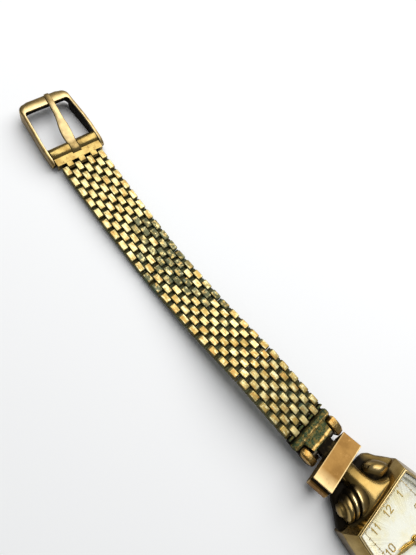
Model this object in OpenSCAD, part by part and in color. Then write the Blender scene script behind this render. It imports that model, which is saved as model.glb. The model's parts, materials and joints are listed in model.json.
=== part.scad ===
// Ladies' wristwatch on a brick-link bracelet, laid open on its case back.
// Origin: centre of the flat case back. +Z is the dial's normal, +Y points to
// 12 o'clock and the buckle half of the bracelet, +X to 3 o'clock and the crown.

/* [Case] */
// Width of the case across its middle
case_mid_w = 16.6; // [16.2:0.1:20]
// Width of the case across its ends
case_end_w = 14.4; // [14.2:0.1:16]
// Length of the case between its end faces
case_len = 17.2; // [17:0.1:22]
// Height of the straight middle band above the case back
band_h = 2.7; // [2.4:0.1:3]
// Height of the sloping shoulder from the band to the bezel edge
shoulder_h = 2.4; // [2.2:0.1:3]
// Width of the bezel's top edge at its middle
bezel_mid_w = 14.1; // [13.9:0.1:14.6]
// Width of the bezel's top edge at its ends
bezel_end_w = 12.2; // [12:0.1:12.8]
// Length of the bezel's top edge
bezel_len = 15.24; // [15.1:0.1:16]
// Thickness of the bezel rim round the crystal
rim_t = 0.24; // [0.15:0.01:0.4]
// Thickness of the case back plate
back_t = 0.5; // [0.35:0.05:0.6]
// How far the case back stands in from the case outline
back_inset = 0.55; // [0.3:0.05:0.8]
// Height of the snap rim on the case back
back_rim_h = 0.45; // [0.3:0.05:0.6]
// Thickness of the snap rim
back_rim_t = 0.3; // [0.2:0.05:0.35]
// Clearance between the movement and the case cavity
plate_fit = 0.12; // [0.05:0.01:0.15]
// Thickness of the crystal
crystal_t = 0.75; // [0.5:0.05:1]
// Radius of the crystal's dome
crystal_dome_r = 30; // [26:1:60]
// Depth of the crystal seat below the bezel edge
seat_d = 0.65; // [0.5:0.05:0.8]

/* [Hooded ends] */
// Half width of each hood where it leaves the bezel
hood_w = 6; // [5.4:0.05:6.05]
// Half width of the tongue that each hood narrows to
tongue_w = 1.42; // [1.2:0.02:1.5]
// Distance from the case centre to the narrow end of the hood
hood_end = 13.6; // [13.2:0.1:14]
// Height of the hood's crown at the bezel
hood_top = 5.35; // [5:0.05:5.5]
// Height of the tongue's top face
tongue_top = 3.95; // [3.8:0.05:4.1]
// Thickness of the tongue
tongue_t = 1.5; // [1.2:0.1:1.8]
// Radius of each scroll's largest turn
scroll_r = 2.4; // [2.3:0.05:2.45]
// How much smaller each turn of a scroll is than the one behind it
scroll_fall = 0.2; // [0.15:0.01:0.25]
// How far each turn's centre lies nearer the case than the one behind it
scroll_shift = 0.35; // [0.2:0.05:0.4]
// Distance from the middle to the centre of each scroll's largest turn
scroll_x = 2.5; // [2.3:0.05:2.6]
// Distance from the case centre to the centre of each scroll's largest turn
scroll_y = 10.1; // [10:0.1:10.2]
// Height of the scrolls' axis
scroll_z = 3.12; // [3.1:0.01:3.2]
// Turn of each scroll's axis away from the case, in degrees
scroll_turn = 30; // [26:1:34]
// How far each turn of a scroll stands out from the one behind it
scroll_step = 1.03; // [0.95:0.01:1.05]
// Height of the lower plate under the scrolls
apron_top = 2.4; // [2.2:0.05:2.45]

/* [Lugs] */
// Distance from the case centre to each lug pin
lug_y = 18.95; // [18.7:0.05:19.4]
// Height of the lug pins
lug_z = 3.2; // [3.1:0.05:3.4]
// Radius of the lug pins
lug_pin_r = 0.42; // [0.3:0.02:0.5]
// Outer radius of the knuckles round the lug pins
knuckle_r = 1.12; // [1:0.02:1.16]
// Half width over the two cheeks of an end link
cheek_w = 3.95; // [3.8:0.05:4.15]
// Distance from the middle to the inner side of each cheek
cheek_in = 2.5; // [2.2:0.05:2.8]
// Length of the cheeks beyond the lug pin
cheek_l = 2.05; // [1.8:0.05:2.1]
// Gap between the cheeks and the cross bar on the top side
cheek_gap = 0.3; // [0.2:0.02:0.36]
// Distance from the lug pin to the first bracelet pin
end_len = 4.15; // [4:0.05:4.5]
// Thickness of the end links' cross bar
bar_t = 1.7; // [1.4:0.1:1.9]

/* [Bracelet] */
// Distance from one brick to the next along the strap
brick_pitch = 2.2667; // [2.2:0.005:2.35]
// Distance from one column of bricks to the next
col_pitch = 1.143; // [1.1:0.005:1.15]
// Gap between neighbouring columns
col_gap = 0.12; // [0.1:0.01:0.16]
// Number of columns of bricks across the strap
cols = 7; // [7:2:7]
// How far a brick reaches past the middle of its pin
over = 0.33; // [0.28:0.01:0.36]
// Thickness of the bricks
brick_t = 1.25; // [1.1:0.05:1.3]
// Depth of the slope at each end of a brick
brick_slope = 0.3; // [0.15:0.01:0.36]
// Radius of the pins through the bricks
pin_r = 0.14; // [0.1:0.01:0.16]
// Radial running clearance of every hinge
hinge_fit = 0.03; // [0.02:0.01:0.05]
// Bricks along one section of strap
bricks_per_section = 5; // [5:1:5]
// Clearance beyond a brick's swinging corner
swing_fit = 0.06; // [0.04:0.01:0.1]

/* [Buckle] */
// Radius of the two barrels on the buckle plate
barrel_r = 1.2; // [1:0.05:1.3]
// Radius of the buckle pin
buckle_pin_r = 0.4; // [0.3:0.02:0.5]
// Distance from the last strap pin to the buckle pin
buckle_pin_y = 3.18; // [3.1:0.02:3.5]
// Half width over the two barrels and the toothed plate
buckle_plate_w = 4.3; // [4.2:0.05:4.35]
// Thickness of the toothed plate
buckle_plate_t = 1.2; // [1:0.05:1.25]
// Length of the solid part of the toothed plate
buckle_plate_l = 1.05; // [0.9:0.05:1.2]
// Half width inside the buckle frame at the pin
frame_in_w = 4.42; // [4.4:0.01:4.5]
// Half width inside the buckle frame at its far end
frame_far_w = 4.02; // [3.9:0.02:4.2]
// Thickness of the frame's side walls
frame_wall = 0.58; // [0.45:0.01:0.7]
// Distance from the buckle pin to the frame's inner far edge
frame_in_l = 8.35; // [8.2:0.05:9.2]
// Width of the frame's far bar
far_bar_w = 2; // [1.8:0.1:2.2]
// Thickness of the far bar
far_bar_t = 0.8; // [0.75:0.05:1]
// Height of the frame's side walls
frame_h = 2.85; // [2.7:0.05:2.95]
// Depth of the frame's walls below the buckle pin
frame_below = 1.18; // [1:0.02:1.2]
// How far the frame's arms reach behind the pin
arm_back = 1.75; // [1.6:0.05:1.9]
// Half width of the tang at its middle
tang_w = 0.74; // [0.7:0.02:0.76]
// Half width of the tang at its tip
tang_tip_w = 0.52; // [0.4:0.02:0.56]
// Thickness of the tang's blade
tang_t = 0.55; // [0.45:0.05:0.65]
// How far the tang's tip leans to one side
tang_lean = 0.85; // [0:0.05:0.9]
// Radius of the tang's loop round the pin
tang_loop_r = 1.05; // [0.9:0.05:1.1]
// Clearance between the tang and what it passes
tang_fit = 0.06; // [0.04:0.01:0.08]

/* [Keeper] */
// Width inside the keeper
keeper_in_w = 8.55; // [8.4:0.05:8.8]
// Height inside the keeper
keeper_in_h = 3.1; // [3.05:0.05:3.2]
// Thickness of the keeper's walls
keeper_t = 0.26; // [0.2:0.02:0.36]
// Length of the keeper along the strap
keeper_l = 3.25; // [3:0.05:3.4]
// How far the keeper hangs to one side
keeper_x = 0.95; // [0.8:0.05:1.1]
// Distance from the case centre to the keeper's middle
keeper_y = 15.65; // [15.55:0.05:15.7]
// Height of the keeper's middle
keeper_z = 3.3; // [3.25:0.05:3.35]
// How far the loose keeper tips down away from the case, in degrees
keeper_tip = 15; // [10:1:15]
// How far the loose keeper rolls down to one side, in degrees
keeper_roll = 10; // [4:1:10]

/* [Strap tip] */
// Length of the solid strap tip beyond its teeth
tip_l = 5.2; // [4:0.1:7]

/* [Movement] */
// Thickness of the main plate
plate_t = 0.9; // [0.85:0.05:0.95]
// Thickness of the bridges
bridge_t = 0.5; // [0.4:0.05:0.5]
// Height of the train space between bridges and main plate
train_h = 1.3; // [1.3:0.05:1.35]
// Thickness of the winding wheels on the barrel bridge
winding_t = 0.25; // [0.2:0.01:0.25]
// Thickness of the train wheels
wheel_t = 0.15; // [0.12:0.01:0.15]
// Axial clearance of the wheels
end_shake = 0.05; // [0.03:0.01:0.06]
// Radius of the fine pivots
pivot_r = 0.08; // [0.06:0.01:0.1]
// Radial clearance of pivots and bores
pivot_fit = 0.02; // [0.01:0.005:0.03]
// Radius of the arbors
arbor_r = 0.13; // [0.11:0.01:0.15]
// Outer radius of the jewels
jewel_r = 0.28; // [0.24:0.01:0.34]
// Tooth module of the barrel and the centre wheel
mod_a = 0.088; // [0.086:0.001:0.089]
// Tooth module of the third wheel
mod_b = 0.085; // [0.082:0.001:0.087]
// Tooth module of the fourth wheel
mod_c = 0.075; // [0.073:0.001:0.078]
// Tooth module of the winding wheels
mod_w = 0.12; // [0.118:0.001:0.122]
// Tooth module of the motion work
mod_m = 0.067; // [0.065:0.001:0.069]
// Radius of the escape wheel
escape_r = 0.85; // [0.8:0.01:0.88]
// Distance from the escape wheel to the pallet fork's pivot
pallet_d = 1; // [0.97:0.01:1.03]
// Distance from the pallet fork's pivot to the balance staff
balance_d = 1.5; // [1.47:0.01:1.55]
// Radius of the balance wheel
balance_r = 1.7; // [1.5:0.05:1.75]

/* [Stem and crown] */
// Radius of the winding stem
stem_r = 0.28; // [0.26:0.01:0.29]
// Height of the winding stem
stem_z = 2.05; // [2.03:0.01:2.07]
// Travel of the crown when it is pulled out
pull = 0.5; // [0.4:0.05:0.5]
// Radius of the crown
crown_r = 1.5; // [1.2:0.05:1.6]
// Length of the crown
crown_l = 2; // [1.6:0.1:2.6]
// Ridges round the crown
crown_ridges = 28; // [20:1:36]

/* [Dial and hands] */
// Thickness of the dial
dial_t = 0.2; // [0.15:0.01:0.2]
// Relief of the numerals and the minute track
print_t = 0.05; // [0.03:0.01:0.06]
// Height of the numerals
numeral_h = 1.25; // [1:0.05:1.4]
// Width of the numerals' strokes
stroke_w = 0.16; // [0.1:0.01:0.2]
// Length of the minute hand from the centre
minute_l = 4.9; // [4:0.1:5.4]
// Length of the hour hand from the centre
hour_l = 3.3; // [2.6:0.1:3.6]
// Thickness of the hands
hand_t = 0.12; // [0.08:0.01:0.12]
// Direction of the minute hand, clockwise from 12
minute_at = 288; // [0:6:354]

/* [Hidden] */
$fn = 48;
gold = "#c9a45a";
worn = "#a9873f";
steel = "#b9bcc0";
brass = "#c8a866";
eps = 0.01;

// Case levels and outlines
bezel_z = back_t + band_h + shoulder_h;
seat_z = bezel_z - seat_d;
cavity_mid = bezel_mid_w / 2 - 0.4;
cavity_end = bezel_end_w / 2 - 0.4;
cavity_l = bezel_len / 2 - 0.3;
dial_fit = 0.08;
ledge = 0.3;

// Movement levels, from the case back up
z_ratchet = back_t + 0.12;
z_bridge = z_ratchet + winding_t + 0.08;
z_train = z_bridge + bridge_t;
z_plate = z_train + train_h;
z_works = z_plate + plate_t;
z_dial = z_works + 0.3;
z_face = z_dial + dial_t;
z_centre = z_plate - 0.28;
z_cpin = z_centre - 0.45;
z_third = z_train + 0.15;
z_fourth = z_train + 0.5;
z_escape = z_train + 0.85;
z_balance = z_train + 0.15;
z_motion = z_works - 0.3;

// Teeth
n_barrel = 60;
n_leaf = 10;
n_centre = 50;
n_third = 40;
n_fourth = 36;
n_epin = 9;
n_escape = 15;
n_ratchet = 48;
n_crown = 24;
n_wind = 20;
n_cannon = 12;
n_minute = 36;
n_mpin = 10;
n_hour = 40;
n_setting = 20;

// Where the arbors stand
barrel_at = [0, mod_a * (n_barrel + n_leaf) / 2];
third_a = 200;
third_at = polar(mod_a * (n_centre + n_leaf) / 2, third_a);
fourth_a = -46;
fourth_at = third_at + polar(mod_b * (n_third + n_leaf) / 2, fourth_a);
escape_at = fourth_at + [mod_c * (n_fourth + n_epin) / 2, 0];
lever_a = -60;
pallet_at = escape_at + polar(pallet_d, lever_a);
balance_at = pallet_at + polar(balance_d, lever_a);
ratchet_c = mod_w * (n_ratchet + n_crown) / 2;
crown_at = [sqrt(ratchet_c * ratchet_c - barrel_at[1] * barrel_at[1]), 0];
motion_c = mod_m * (n_cannon + n_minute) / 2;
mod_h = 2 * motion_c / (n_mpin + n_hour);
minute_a = -40;
minwheel_at = polar(motion_c, minute_a);
setting_c = mod_m * (n_minute + n_setting) / 2;
setting_at = [minwheel_at[0] + sqrt(setting_c * setting_c
    - minwheel_at[1] * minwheel_at[1]), 0];
click_at = barrel_at + polar(mod_w * n_ratchet / 2 + 1, 200);
wind_x = crown_at[0] + mod_w * n_crown / 2 - 0.05;
wind_l = 0.5;
slide_x = wind_x - 0.72;
lever_x = wind_x + 1.3;
lever_l = 1.55;
yoke_x = slide_x + 0.28;
yoke_l = 1.75;
block_x = slide_x - 1.05;
block_l = 0.65;

// Posts that carry the bridges
barrel_posts = [[-4.6, 4.9], [4.6, 4.9], [4.4, -2.3]];
train_posts = [[-4.9, -2.2], [-3.1, -4.4]];
cock_posts = [[4.5, -4.7]];
pallet_posts = [pallet_at + polar(1.2, 30), pallet_at + polar(1.2, 210)];
post_r = 0.42;

// Strap geometry
half_pitch = brick_pitch / 2;
brick_l = half_pitch + 2 * over;
brick_w = col_pitch - col_gap;
section_pins = 2 * bricks_per_section;
section_l = section_pins * half_pitch;
swing = sqrt(over * over + brick_t * brick_t / 4) + swing_fit;
pin_l = cols * col_pitch - col_gap;
plate_start = swing;

// Attitude of each piece of strap, counted from the lug: rise, lean and turn in degrees.
// Piece 0 is the end link, 1 to 5 the sections, 6 the buckle plate or the strap tip.
rise_12 = [6.8, 1.6, -10.1, -5.8, 1.5, 0.8, 0.6];
lean_12 = [0.3, 1, 2.4, 2.4, 1.8, 1.3, 1.3];
turn_12 = [1, 1.8, 3.1, 4.2, 5.2, 6.6, 7.7];
rise_6 = [-7, -8, -1.6, -0.2, 0, 0, 0];
lean_6 = [0, 0, 0, 0, 0, 0, 0];
turn_6 = [0.5, 1.2, 2.2, 3, 3.4, 3.6, 3.6];

function polar(r, a) = [r * cos(a), r * sin(a)];
function rise_of(h, e) = h == 12 ? rise_12[e] : rise_6[e];
function lean_of(h, e) = h == 12 ? lean_12[e] : lean_6[e];
function turn_of(h, e) = h == 12 ? turn_12[e] : turn_6[e];
function heading(p, r, w) = let(x = sin(p) * sin(r), y = cos(p))
    [x * cos(w) + y * sin(w), y * cos(w) - x * sin(w), sin(p) * cos(r)];
function len_of(e) = e == 0 ? end_len : section_l;
function knot(h, e) = e == 0 ? [0, lug_y, lug_z]
    : knot(h, e - 1) + len_of(e - 1)
        * heading(rise_of(h, e - 1), lean_of(h, e - 1), turn_of(h, e - 1));

// Barrel-shaped outline: mid and end are half widths, len is the half length.
function tonneau(mid, end, len, n = 10) = concat(
    [for (i = [0:n]) let(t = 2 * i / n - 1) [mid - (mid - end) * t * t, len * t]],
    [for (i = [0:n]) let(t = 1 - 2 * i / n) [(mid - end) * t * t - mid, len * t]]);

// A gear's outline: n teeth of module m, the first one centred at angle ph.
function gear_pts(n, m, ph = 0, add = 0.85, ded = 1.05) = [
    for (i = [0:n - 1], q = [[-0.29, -ded], [-0.13, add], [0.13, add], [0.29, -ded]])
        polar(m * (n / 2 + q[1]), ph + (i + q[0]) * 360 / n)];

// Phase that puts a gear of nb teeth in mesh with a gear of na teeth and phase pa,
// when b lies in direction th from a.
function mesh_ph(th, na, pa, nb) = th + 180 - (na / nb) * (pa - th) - 180 / nb;

ph_centre_pin = mesh_ph(-90, n_barrel, 0, n_leaf);
ph_third_pin = mesh_ph(third_a, n_centre, 0, n_leaf);
ph_fourth_pin = mesh_ph(fourth_a, n_third, 0, n_leaf);
ph_escape_pin = mesh_ph(0, n_fourth, 0, n_epin);
ph_crown = mesh_ph(atan2(-barrel_at[1], crown_at[0]), n_ratchet, 0, n_crown);
ph_minute = mesh_ph(minute_a, n_cannon, 0, n_minute);
ph_hour = mesh_ph(minute_a + 180, n_mpin, 0, n_hour);
setting_a = atan2(-minwheel_at[1], setting_at[0] - minwheel_at[0]);
ph_setting = mesh_ph(setting_a, n_minute, ph_minute, n_setting);

module gear(n, m, t, ph = 0, bore = 0) {
    linear_extrude(t) difference() {
        polygon(gear_pts(n, m, ph));
        if (bore > 0) circle(bore);
    }
}
module rod(r, z0, z1) {
    translate([0, 0, z0]) cylinder(r = r, h = z1 - z0);
}
module tube(ro, ri, z0, z1) {
    translate([0, 0, z0]) difference() {
        cylinder(r = ro, h = z1 - z0);
        translate([0, 0, -eps]) cylinder(r = ri, h = z1 - z0 + 2 * eps);
    }
}
module at(p) {
    translate([p[0], p[1], 0]) children();
}
module along_x(r, x0, x1) {
    translate([x0, 0, 0]) rotate([0, 90, 0]) cylinder(r = r, h = x1 - x0);
}
module slab(pts, z0, z1) {
    translate([0, 0, z0]) linear_extrude(z1 - z0) polygon(pts);
}
// Side profile given in Y and Z, reaching from x0 to x1.
module side(pts, x0, x1) {
    translate([x0, 0, 0]) rotate([90, 0, 90]) linear_extrude(x1 - x0) polygon(pts);
}
// Front profile given in X and Z, reaching from y0 to y1.
module front(pts, y0, y1) {
    translate([0, y1, 0]) rotate([90, 0, 0]) linear_extrude(y1 - y0) polygon(pts);
}
module both_ends() {
    children();
    rotate([0, 0, 180]) children();
}
module end_of(h) {
    rotate([0, 0, h == 12 ? 0 : 180]) children();
}
// Frame of strap piece e in half h: origin on its near hinge, +Y away from the case.
module piece(h, e) {
    end_of(h) translate(knot(h, e)) rotate([rise_of(h, e), lean_of(h, e), -turn_of(h, e)])
        children();
}
// The hinge line before piece e, square to the piece that holds the pin.
module hinge_line(h, e) {
    end_of(h) translate(knot(h, e))
        rotate([rise_of(h, e - 1), lean_of(h, e - 1), -turn_of(h, e - 1)]) children();
}

// Case

// Three ridged turns and a cap on an eccentric core, with the axis along +X.
module scroll() {
    r = scroll_r;
    f = scroll_fall;
    h = scroll_shift;
    s = scroll_step;
    along_x(r, -1.2, 0.04);
    translate([0, -h, 0]) {
        along_x(r - f - 0.4, -1, 2 * s - 0.1);
        along_x(r - f, 0.4, s);
    }
    translate([0, -2 * h, 0]) {
        along_x(r - 2 * f, s + 0.25, 2 * s);
        along_x(1.15, s, 2 * s + 0.65);
        along_x(0.8, s, 2 * s + 0.9);
    }
}
apron = [[7, 7.9], [7, 8.9], [6.3, 9.85], [5.45, 10.95], [4.85, 12.05], [4.2, 12.65],
    [3.2, 12.9], [1.6, 12.95]];
hood_side = [[bezel_len / 2 - 1, scroll_z - 1.8], [bezel_len / 2 - 1, hood_top],
    [bezel_len / 2 + 0.9, hood_top], [bezel_len / 2 + 2.4, hood_top - 0.25],
    [bezel_len / 2 + 4, tongue_top + 0.55], [hood_end, tongue_top + 0.1],
    [hood_end + 0.4, tongue_top], [hood_end + 0.4, tongue_top - tongue_t],
    [hood_end - 0.6, tongue_top - tongue_t]];
function bell(y) = let(k = (hood_end - y) / (hood_end - bezel_len / 2))
    tongue_w + (hood_w - tongue_w) * (0.33 * pow(k, 1.4) + 0.67 * pow(k, 6));
module hood() {
    y0 = bezel_len / 2;
    n = 12;
    intersection() {
        slab(concat([[hood_w, y0 - 1]],
            [for (i = [0:n]) let(y = y0 + (hood_end - y0) * i / n) [bell(y), y]],
            [[tongue_w, hood_end + 0.3], [-tongue_w, hood_end + 0.3]],
            [for (i = [n:-1:0]) let(y = y0 + (hood_end - y0) * i / n) [-bell(y), y]],
            [[-hood_w, y0 - 1]]), 0.9, hood_top + 1);
        side(hood_side, -hood_w - 1, hood_w + 1);
        translate([0, y0 - 1.5, hood_top - 7]) rotate([-90, 0, 0]) cylinder(r = 7, h = 9);
    }
}
module tongue() {
    difference() {
        union() {
            side([[hood_end - 0.5, tongue_top], [hood_end - 0.5, tongue_top - tongue_t],
                [lug_y, lug_z - tongue_t / 2], [lug_y, lug_z + tongue_t / 2]],
                -tongue_w, tongue_w);
            translate([0, lug_y, lug_z]) along_x(knuckle_r, -tongue_w, tongue_w);
        }
        translate([0, lug_y, lug_z]) along_x(lug_pin_r, -5, 5);
    }
}
module case_body() color(gold) {
    difference() {
        union() {
            slab(tonneau(case_mid_w / 2, case_end_w / 2, case_len / 2),
                back_t, back_t + band_h);
            hull() {
                slab(tonneau(case_mid_w / 2, case_end_w / 2, case_len / 2),
                    back_t + band_h - 0.05, back_t + band_h);
                slab(tonneau(bezel_mid_w / 2, bezel_end_w / 2, bezel_len / 2),
                    bezel_z - 0.05, bezel_z);
            }
            both_ends() {
                hood();
                tongue();
                slab(concat(apron, [for (i = [len(apron) - 1:-1:0])
                    [-apron[i][0], apron[i][1]]]), back_t + 0.25, apron_top);
                translate([-4.7, 8, back_t + 0.25]) cube([9.4, 0.74, 2.05]);
                for (s = [0, 1]) mirror([s, 0, 0]) translate([scroll_x, scroll_y, scroll_z])
                    rotate([0, 0, scroll_turn]) scroll();
            }
            translate([0, 0, stem_z]) along_x(0.8, case_mid_w / 2 - 0.3,
                case_mid_w / 2 + 0.3);
        }
        slab(tonneau(cavity_mid, cavity_end, cavity_l), back_t - eps, z_face + dial_fit);
        slab(tonneau(cavity_mid - ledge, cavity_end - ledge, cavity_l - ledge),
            z_face, bezel_z + 1);
        slab(tonneau(bezel_mid_w / 2 - rim_t, bezel_end_w / 2 - rim_t,
            bezel_len / 2 - rim_t), seat_z, bezel_z + 1);
        translate([0, 0, stem_z]) along_x(stem_r + 0.06, cavity_mid - 1, case_mid_w);
    }
}
module case_back() color(worn) {
    mid = case_mid_w / 2 - back_inset;
    end = case_end_w / 2 - back_inset;
    len = case_len / 2 - back_inset;
    slab(tonneau(mid - 0.25, end - 0.25, len - 0.25), 0, back_t / 2);
    slab(tonneau(mid, end, len), back_t / 2, back_t);
    difference() {
        slab(tonneau(cavity_mid - 0.03, cavity_end - 0.03, cavity_l - 0.03),
            back_t - eps, back_t + back_rim_h);
        slab(tonneau(cavity_mid - back_rim_t, cavity_end - back_rim_t,
            cavity_l - back_rim_t), back_t - 1, back_t + back_rim_h + 1);
    }
}
module crystal() color("#e8eef0") {
    g = 0.03;
    mid = bezel_mid_w / 2 - rim_t - g;
    end = bezel_end_w / 2 - rim_t - g;
    len = bezel_len / 2 - rim_t - g;
    top = bezel_z + 0.95;
    difference() {
        intersection() {
            slab(tonneau(mid, end, len), seat_z, top + 1);
            translate([0, 0, top - crystal_dome_r]) sphere(crystal_dome_r, $fn = 96);
        }
        intersection() {
            slab(tonneau(mid - 0.5, end - 0.5, len - 0.5), seat_z - 1, top);
            translate([0, 0, top - crystal_t - crystal_dome_r])
                sphere(crystal_dome_r, $fn = 96);
        }
    }
}
module lug_pins() color(steel) {
    both_ends() translate([0, lug_y, lug_z]) along_x(lug_pin_r, -cheek_w, cheek_w);
}
module keeper() color("#c79a5c") {
    w = keeper_in_w / 2;
    translate([-keeper_x, keeper_y, keeper_z]) rotate([-keeper_tip, keeper_roll, 0])
        difference() {
            translate([-w - keeper_t, -keeper_l / 2, -keeper_in_h / 2 - keeper_t])
                cube([2 * (w + keeper_t), keeper_l, keeper_in_h + 2 * keeper_t]);
            translate([-w, -keeper_l, -keeper_in_h / 2])
                cube([2 * w, 2 * keeper_l, keeper_in_h]);
        }
}

// Dial and hands

module dial() color("#efe7cf") {
    difference() {
        slab(tonneau(cavity_mid - dial_fit, cavity_end - dial_fit, cavity_l - dial_fit),
            z_dial, z_face);
        rod(0.62, z_dial - 1, z_face + 1);
    }
}
// Strokes of each figure in a cell 0.6 wide and 1 high.
figures = [
    [[[0.15, 0], [0.45, 0], [0.6, 0.2], [0.6, 0.8], [0.45, 1], [0.15, 1], [0, 0.8],
        [0, 0.2], [0.15, 0]]],
    [[[0.12, 0.78], [0.32, 1], [0.32, 0]]],
    [[[0, 0.78], [0.12, 1], [0.48, 1], [0.6, 0.78], [0.5, 0.5], [0, 0], [0.6, 0]]],
    [[[0, 1], [0.55, 1], [0.25, 0.6], [0.55, 0.45], [0.6, 0.2], [0.4, 0], [0, 0.05]]],
    [[[0.45, 0], [0.45, 1], [0, 0.3], [0.6, 0.3]]],
    [[[0.55, 1], [0.08, 1], [0, 0.55], [0.42, 0.6], [0.6, 0.35], [0.45, 0.02],
        [0, 0.05]]],
    [[[0.5, 1], [0.15, 0.75], [0, 0.25], [0.2, 0], [0.5, 0.05], [0.6, 0.3],
        [0.4, 0.52], [0.05, 0.42]]],
    [[[0, 1], [0.6, 1], [0.2, 0]]],
    [[[0.3, 0.53], [0.05, 0.75], [0.15, 1], [0.45, 1], [0.55, 0.75], [0.3, 0.53],
        [0.02, 0.28], [0.15, 0], [0.45, 0], [0.58, 0.28], [0.3, 0.53]]],
    [[[0.55, 0.6], [0.2, 0.48], [0, 0.72], [0.12, 0.98], [0.42, 1], [0.6, 0.75],
        [0.45, 0.25], [0.1, 0]]]];
module stroke(p, q) {
    d = q - p;
    l = norm(d);
    translate(p) rotate(atan2(d[1], d[0])) translate([-stroke_w / 2, -stroke_w / 2])
        square([l + stroke_w, stroke_w]);
}
module figure(n) {
    s = numeral_h - stroke_w;
    for (line = figures[n], i = [1:len(line) - 1]) stroke(line[i - 1] * s, line[i] * s);
}
module numeral(n) {
    s = numeral_h - stroke_w;
    if (n < 10) translate([-0.3 * s, -s / 2]) figure(n);
    else {
        translate([-0.76 * s, -s / 2]) figure(1);
        translate([0.02 * s, -s / 2]) figure(n - 10);
    }
}
// Where a ray at clock angle a meets the minute track of half widths and length given.
function track(a, mid, len) = let(k = max(abs(sin(a)) / mid, abs(cos(a)) / len))
    [sin(a) / k, cos(a) / k];
module dial_numerals() color("#b98f3e") {
    mid = cavity_end - 0.75;
    len = cavity_l - 0.75;
    translate([0, 0, z_face]) linear_extrude(print_t) {
        difference() {
            square([2 * mid, 2 * len], center = true);
            square([2 * mid - 0.1, 2 * len - 0.1], center = true);
        }
        for (i = [0:59]) {
            p = track(i * 6, mid, len);
            translate(p) rotate(abs(p[0]) > mid - eps ? 90 : 0)
                square([i % 5 == 0 ? 0.16 : 0.07, 0.4], center = true);
        }
        for (n = [1:12]) translate(track(n * 30, mid - 1.15, len - 1)) numeral(n);
    }
}
module hand(l, w, r) {
    difference() {
        union() {
            cylinder(r = r + 0.22, h = hand_t);
            linear_extrude(hand_t) polygon([[-w / 4, 0], [-w / 2, l * 0.55],
                [-w / 5, l * 0.8], [0, l], [w / 5, l * 0.8], [w / 2, l * 0.55],
                [w / 4, 0], [w / 3, -1.1], [-w / 3, -1.1]]);
        }
        translate([0, 0, -eps]) cylinder(r = r, h = hand_t + 2 * eps);
    }
}
cannon_r = 0.33;
pipe_r = 0.5;
z_hour_hand = z_face + 0.15;
z_minute_hand = z_face + 0.42;
module hour_hand() color("#b8913f") {
    translate([0, 0, z_hour_hand]) rotate(-(270 + minute_at / 12)) hand(hour_l, 0.6, pipe_r);
}
module minute_hand() color("#b8913f") {
    translate([0, 0, z_minute_hand]) rotate(-minute_at) hand(minute_l, 0.48, cannon_r);
}

// Plates and bridges

module pivot_holes(z0, z1, r) {
    for (p = [[0, 0], third_at, fourth_at, escape_at]) at(p) rod(r, z0, z1);
}
module main_plate() color(brass) {
    f = plate_fit;
    difference() {
        union() {
            slab(tonneau(cavity_mid - f, cavity_end - f, cavity_l - f), z_plate, z_works);
            slab(tonneau(cavity_mid - dial_fit, cavity_end - dial_fit, cavity_l - dial_fit),
                z_works - eps, z_dial);
            translate([block_x, -0.7, z_train + 0.1])
                cube([block_l, 1.4, train_h - 0.1 + eps]);
        }
        slab(tonneau(cavity_mid - 0.6, cavity_end - 0.6, cavity_l - 0.6),
            z_works, z_dial + 1);
        rod(arbor_r + pivot_fit + 0.02, z_plate - 1, z_works + 1);
        for (p = [third_at, fourth_at, escape_at, pallet_at, balance_at])
            at(p) rod(pivot_r + pivot_fit, z_plate - 1, z_works + 1);
        at(barrel_at) rod(0.3 + pivot_fit, z_plate - 1, z_works + 1);
        rod(1.6, z_motion, z_dial);
        at(minwheel_at) rod(mod_m * n_minute / 2 + 0.16, z_motion, z_dial);
        at(setting_at) rod(mod_m * n_setting / 2 + 0.14, z_plate + 0.15, z_dial);
        translate([slide_x - 0.35, -1.5, z_plate - eps]) cube([4, 3, 0.72]);
        translate([0, 0, stem_z]) along_x(stem_r / 2 + pivot_fit, 0, 9);
    }
    at(minwheel_at) rod(arbor_r, z_motion - 0.1, z_works + 0.14);
    at(setting_at) rod(arbor_r, z_plate + 0.1, z_works + 0.1);
}
module bridge(pts, posts) {
    slab(pts, z_bridge, z_train);
    for (p = posts) at(p) rod(post_r, z_train - eps, z_plate);
}
module barrel_bridge() color(brass) {
    difference() {
        bridge([[-5.3, 0.9], [-5.3, 5.4], [-4.4, 6.3], [4.4, 6.3], [5.3, 5.4], [5.6, -2],
            [5, -2.9], [3.9, -2.9], [2.1, -1.7], [1.7, 0.9]], barrel_posts);
        at(barrel_at) rod(0.45 + pivot_fit, 0, z_plate);
        translate([slide_x - 0.36, -1.22, 0]) cube([wind_x + wind_l - slide_x + 0.46, 2.44, 3]);
    }
    at(crown_at) rod(0.4, z_ratchet - 0.02, z_bridge + eps);
    at(click_at) rod(0.25, z_ratchet - 0.02, z_bridge + eps);
}
module train_bridge() color(brass) {
    difference() {
        bridge([[-5.4, 0.75], [1.35, 0.75], [1.5, -1.9], [1.35, -2.75], [0.4, -3.1],
            [-0.6, -3.4], [-2.2, -5], [-4, -5.2], [-5.5, -2.6]], train_posts);
        pivot_holes(z_bridge - 1, z_train + 1, jewel_r);
    }
}
module balance_cock() color(brass) {
    c = balance_at;
    difference() {
        bridge([c + [-0.6, 0.5], c + [0.6, 0.8], [4.9, -3.9], [5.2, -5.2], [3.9, -6],
            c + [-0.3, -0.8]], cock_posts);
        at(c) rod(jewel_r, 0, z_plate);
    }
}
module pallet_bridge() color(brass) {
    z = z_train + 0.5;
    difference() {
        union() {
            translate([pallet_at[0], pallet_at[1], z]) rotate(30)
                translate([-1.4, -0.22, 0]) cube([2.8, 0.44, 0.2]);
            for (p = pallet_posts) at(p) rod(0.2, z + eps, z_plate);
        }
        at(pallet_at) rod(pivot_r + pivot_fit, 0, z + 1);
    }
}
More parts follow.
